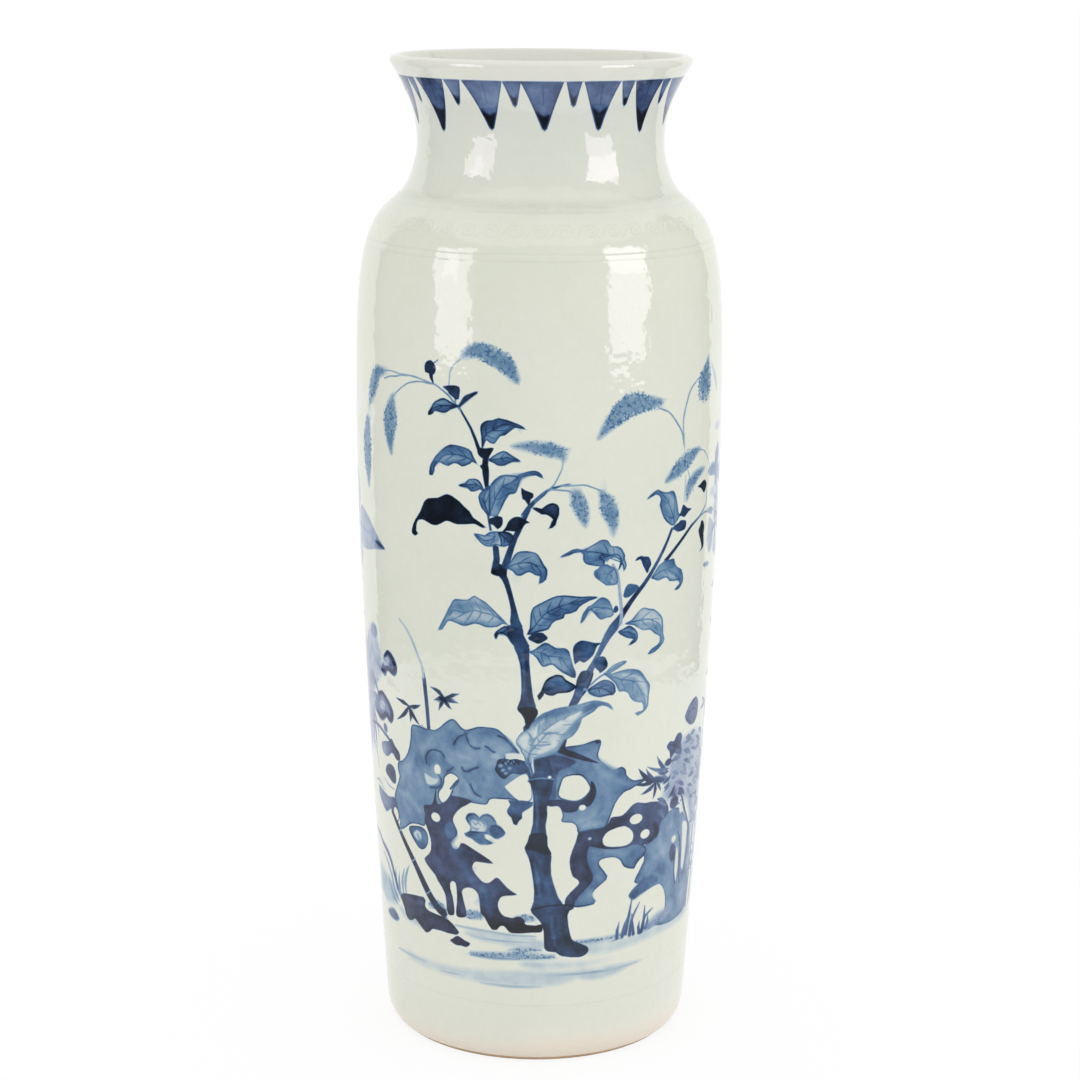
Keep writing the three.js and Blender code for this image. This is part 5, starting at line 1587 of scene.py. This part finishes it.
def plain_glaze(character):
    made, tree, shader, place = new_material("plain_glaze", 0.07)
    effects = place_group(tree, character, place)
    finish_shader(tree, shader, glaze_base(place, effects), effects["Ripple"], RIPPLE_DEPTH)
    return made


def clay(name, pale, dark, grain):
    """Bare fired clay between two colours."""
    made, tree, shader, place = new_material(name, 0.85)
    effects = place_group(tree, grain, place)
    base = ramp(effects["Grain"], [(0.36, dark), (0.62, pale)])
    base = mixed(product(effects["Grit"], 0.45), base, IRON_SPECK)
    finish_shader(tree, shader, base, effects["Height"], 0.08 * MM)
    return made


def foot_clay(grain):
    """The bare foot: buff, burnt orange where the glaze stops, worn and soiled on the tread."""
    made, tree, shader, place = new_material("bare_foot_clay", 0.8)
    effects = place_group(tree, grain, place)
    base = ramp(effects["Grain"], [(0.36, colour(196, 170, 134)), (0.62, colour(226, 208, 178))])
    height = add(place.id_data, "SeparateXYZ", {0: place}).outputs[2]
    burnt = product(product(effects["Grain"], 0.0012, height), 420, clamp=True)
    base = mixed(product(burnt, 0.8), base, BURNT_EDGE)
    tread = maths("LESS_THAN", height, 0.12 * MM)
    base = mixed(product(tread, product(effects["Grain"], 0.7)), base, TREAD_SOIL)
    base = mixed(product(effects["Grit"], 0.5), base, IRON_SPECK)
    finish_shader(tree, shader, base, effects["Height"], 0.1 * MM)
    return made


# Colours of the glaze by share of the crest's height: partly its own tint and partly painted light, with
# painted bounce from the floor in the paler bottom.
GLAZE_TINT_AND_PAINTED_LIGHT = [(0, colour(225, 222, 210)), (0.05, colour(218, 219, 207)), (0.5, colour(217, 219, 207)),
    (0.85, colour(217, 219, 205)), (0.95, colour(212, 214, 206)), (1, colour(218, 217, 208))]
FOOT_FLUSH = colour(228, 212, 196)
BURNT_EDGE = colour(192, 158, 124)
TREAD_SOIL = colour(128, 108, 84)
IRON_SPECK = colour(92, 78, 60)
# Glaze pooled in cut lines, and painted shade in the ring at the root of the neck
POOLED_GLAZE_AND_NECK_SHADE = colour(176, 180, 164)
RIPPLE_DEPTH = 0.4 * MM
PORCELAIN_IOR = 1.5
# How bare glaze and tones of cobalt look under it
BARE = (217, 219, 206)
CLEAR_BLUES = ((0, BARE), (0.1, (191, 202, 203)), (0.22, (161, 179, 190)), (0.33, (132, 156, 177)),
    (0.44, (107, 138, 165)), (0.54, (87, 121, 154)), (0.63, (68, 103, 142)), (0.72, (50, 81, 120)),
    (0.82, (35, 56, 89)), (0.9, (21, 36, 57)), (1, (3, 12, 25)))
VIOLET_BLUES = ((0, BARE), (0.1, (196, 201, 203)), (0.22, (170, 178, 192)), (0.33, (143, 156, 180)),
    (0.44, (118, 133, 164)), (0.54, (99, 115, 149)), (0.63, (82, 97, 133)), (0.72, (64, 77, 112)),
    (0.82, (46, 54, 82)), (0.9, (29, 35, 52)), (1, (9, 12, 21)))

paint_back()
paint_front()
character = glaze_character()
grain = clay_grain()
glazed_outside(painted_glaze(character))
glazed_inside(plain_glaze(character))
bare_foot(foot_clay(grain))
body_clay = clay("porcelain_clay_fired", colour(230, 214, 190), colour(212, 192, 162), grain)
seam_slip = clay("slip_fired", colour(214, 196, 168), colour(196, 176, 146), grain)
for finish, names in ((body_clay, ("lower_body_section", "upper_body_section", "neck_and_lip")),
        (seam_slip, ("base_seam_slip", "belly_seam_slip", "neck_seam_slip"))):
    for name in names:
        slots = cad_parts[name].data.materials
        slots.clear()
        slots.append(finish)


# Studio
def softbox(name, place, turn, tilt, width, height, radiance, seen_in="glossy", tint=(1, 1, 1)):
    """A soft lamp, turned about the upright and tilted down, for reflections or for diffuse light."""
    lamp = bpy.data.lights.new(name, "AREA")
    lamp.shape = "RECTANGLE"
    lamp.size = width
    lamp.size_y = height
    lamp.energy = radiance * math.pi * width * height
    lamp.color = tint
    holder = bpy.data.objects.new(name, lamp)
    scene.collection.objects.link(holder)
    holder.location = place
    holder.rotation_euler = (math.radians(90 - tilt), 0, math.radians(turn))
    holder.visible_camera = False
    holder.visible_diffuse = seen_in == "diffuse"
    holder.visible_glossy = seen_in == "glossy"


def staged(bm, name, material):
    mesh = bpy.data.meshes.new(name)
    bm.to_mesh(mesh)
    bm.free()
    mesh.materials.append(material)
    thing = bpy.data.objects.new(name, mesh)
    scene.collection.objects.link(thing)
    return thing


def background_share(tree):
    """1 for rays that look at the background, straight, by reflection or through glass."""
    path = add(tree, "LightPath").outputs
    seen = maths("MAXIMUM", path["Is Camera Ray"], path["Is Glossy Ray"])
    return maths("MAXIMUM", seen, path["Is Transmission Ray"])


def white_floor():
    """A white floor that keeps a soft shadow of the vase."""
    bm = bmesh.new()
    bmesh.ops.create_circle(bm, cap_ends=True, segments=96, radius=FLOOR_RADIUS)
    made = bpy.data.materials.new("white_floor")
    made.use_nodes = True
    tree = made.node_tree
    tree.nodes.clear()
    lit = add(tree, "BsdfDiffuse", {"Color": FLOOR_COLOUR})
    white = add(tree, "Emission", {"Color": WHITE, "Strength": 1})
    share = product(background_share(tree), 1 - FLOOR_SHADOW)
    both = add(tree, "MixShader", {0: share, 1: lit.outputs[0], 2: white.outputs[0]})
    add(tree, "OutputMaterial", {"Surface": both.outputs[0]})
    staged(bm, "floor", made)


def dark_flag():
    """A dark curtain round the front and sides, just for reflections. It keeps the painting's blue deep."""
    bm = bmesh.new()
    profile = ((TABLE_EDGE, FLAG_LIFT), (FLAG_REACH, FLAG_LIFT), (FLAG_REACH, FLAG_REACH))
    line = [bm.verts.new((r, 0, z)) for r, z in profile]
    edges = [bm.edges.new(pair) for pair in zip(line, line[1:])]
    bmesh.ops.spin(bm, geom=line + edges, axis=(0, 0, 1), cent=(0, 0, 0),
        angle=math.radians(FLAG_LEFT + FLAG_RIGHT), steps=60)
    bmesh.ops.rotate(bm, verts=bm.verts, cent=(0, 0, 0),
        matrix=Matrix.Rotation(math.radians(-90 - FLAG_LEFT), 3, "Z"))
    made = bpy.data.materials.new("dark_curtain")
    made.use_nodes = True
    shader = made.node_tree.nodes["Principled BSDF"]
    shader.inputs["Base Color"].default_value = CURTAIN_GREY
    shader.inputs["Roughness"].default_value = 1
    flag = staged(bm, "dark_flag", made)
    for ray in ("camera", "diffuse", "transmission", "shadow"):
        setattr(flag, "visible_" + ray, False)


def studio_world():
    world = bpy.data.worlds.new("studio")
    scene.world = world
    world.use_nodes = True
    tree = world.node_tree
    tree.nodes.clear()
    room = add(tree, "Background", {"Color": WHITE, "Strength": ROOM_LIGHT})
    white = add(tree, "Background", {"Color": WHITE, "Strength": 1})
    both = add(tree, "MixShader", {0: background_share(tree), 1: room.outputs[0], 2: white.outputs[0]})
    add(tree, "OutputWorld", {"Surface": both.outputs[0]})


WHITE = (1, 1, 1, 1)
FLOOR_COLOUR = (0.92, 0.92, 0.92, 1)
CURTAIN_GREY = (0.12, 0.12, 0.12, 1)
FLOOR_RADIUS = 30
FLOOR_SHADOW = 0.12
# The curtain, from the table's edge outwards and up, and how many degrees it goes round to each side
TABLE_EDGE = 0.6
FLAG_REACH = 2.4
FLAG_LIFT = 2 * MM
FLAG_LEFT = 124
FLAG_RIGHT = 132
ROOM_LIGHT = 1.12
COOL = (0.98, 0.86, 1)
softbox("left_softbox", (-0.491, -0.341, 0.458), -30.5, 23.7, 0.294, 0.408, 3.9, tint=COOL)
softbox("left_softbox_core", (-0.462, -0.296, 0.546), -30.5, 23.7, 0.11, 0.2, 1.6, tint=COOL)
softbox("right_softbox", (0.427, -0.294, 0.449), 37.9, 21.3, 0.267, 0.387, 4.1, tint=COOL)
softbox("right_softbox_core", (0.401, -0.26, 0.531), 37.9, 21.3, 0.25, 0.17, 2.2, tint=COOL)
softbox("right_fill", (1.9, -0.5, 0.6), 75, 0, 1.6, 1.6, 0.45, "diffuse")
white_floor()
dark_flag()
studio_world()

eye = bpy.data.cameras.new("camera")
eye.sensor_width = SENSOR_WIDTH
eye.lens = FOCAL_PIXELS / FRAME_PIXELS * SENSOR_WIDTH
camera = bpy.data.objects.new("camera", eye)
scene.collection.objects.link(camera)
camera.matrix_world = (Matrix.Translation((CAMERA_ASIDE, -CAMERA_DISTANCE, CAMERA_HEIGHT))
    @ Matrix.Rotation(math.pi / 2 - CAMERA_PITCH, 4, "X") @ Matrix.Rotation(CAMERA_ROLL, 4, "Z"))
scene.camera = camera
scene.view_settings.view_transform = "Standard"
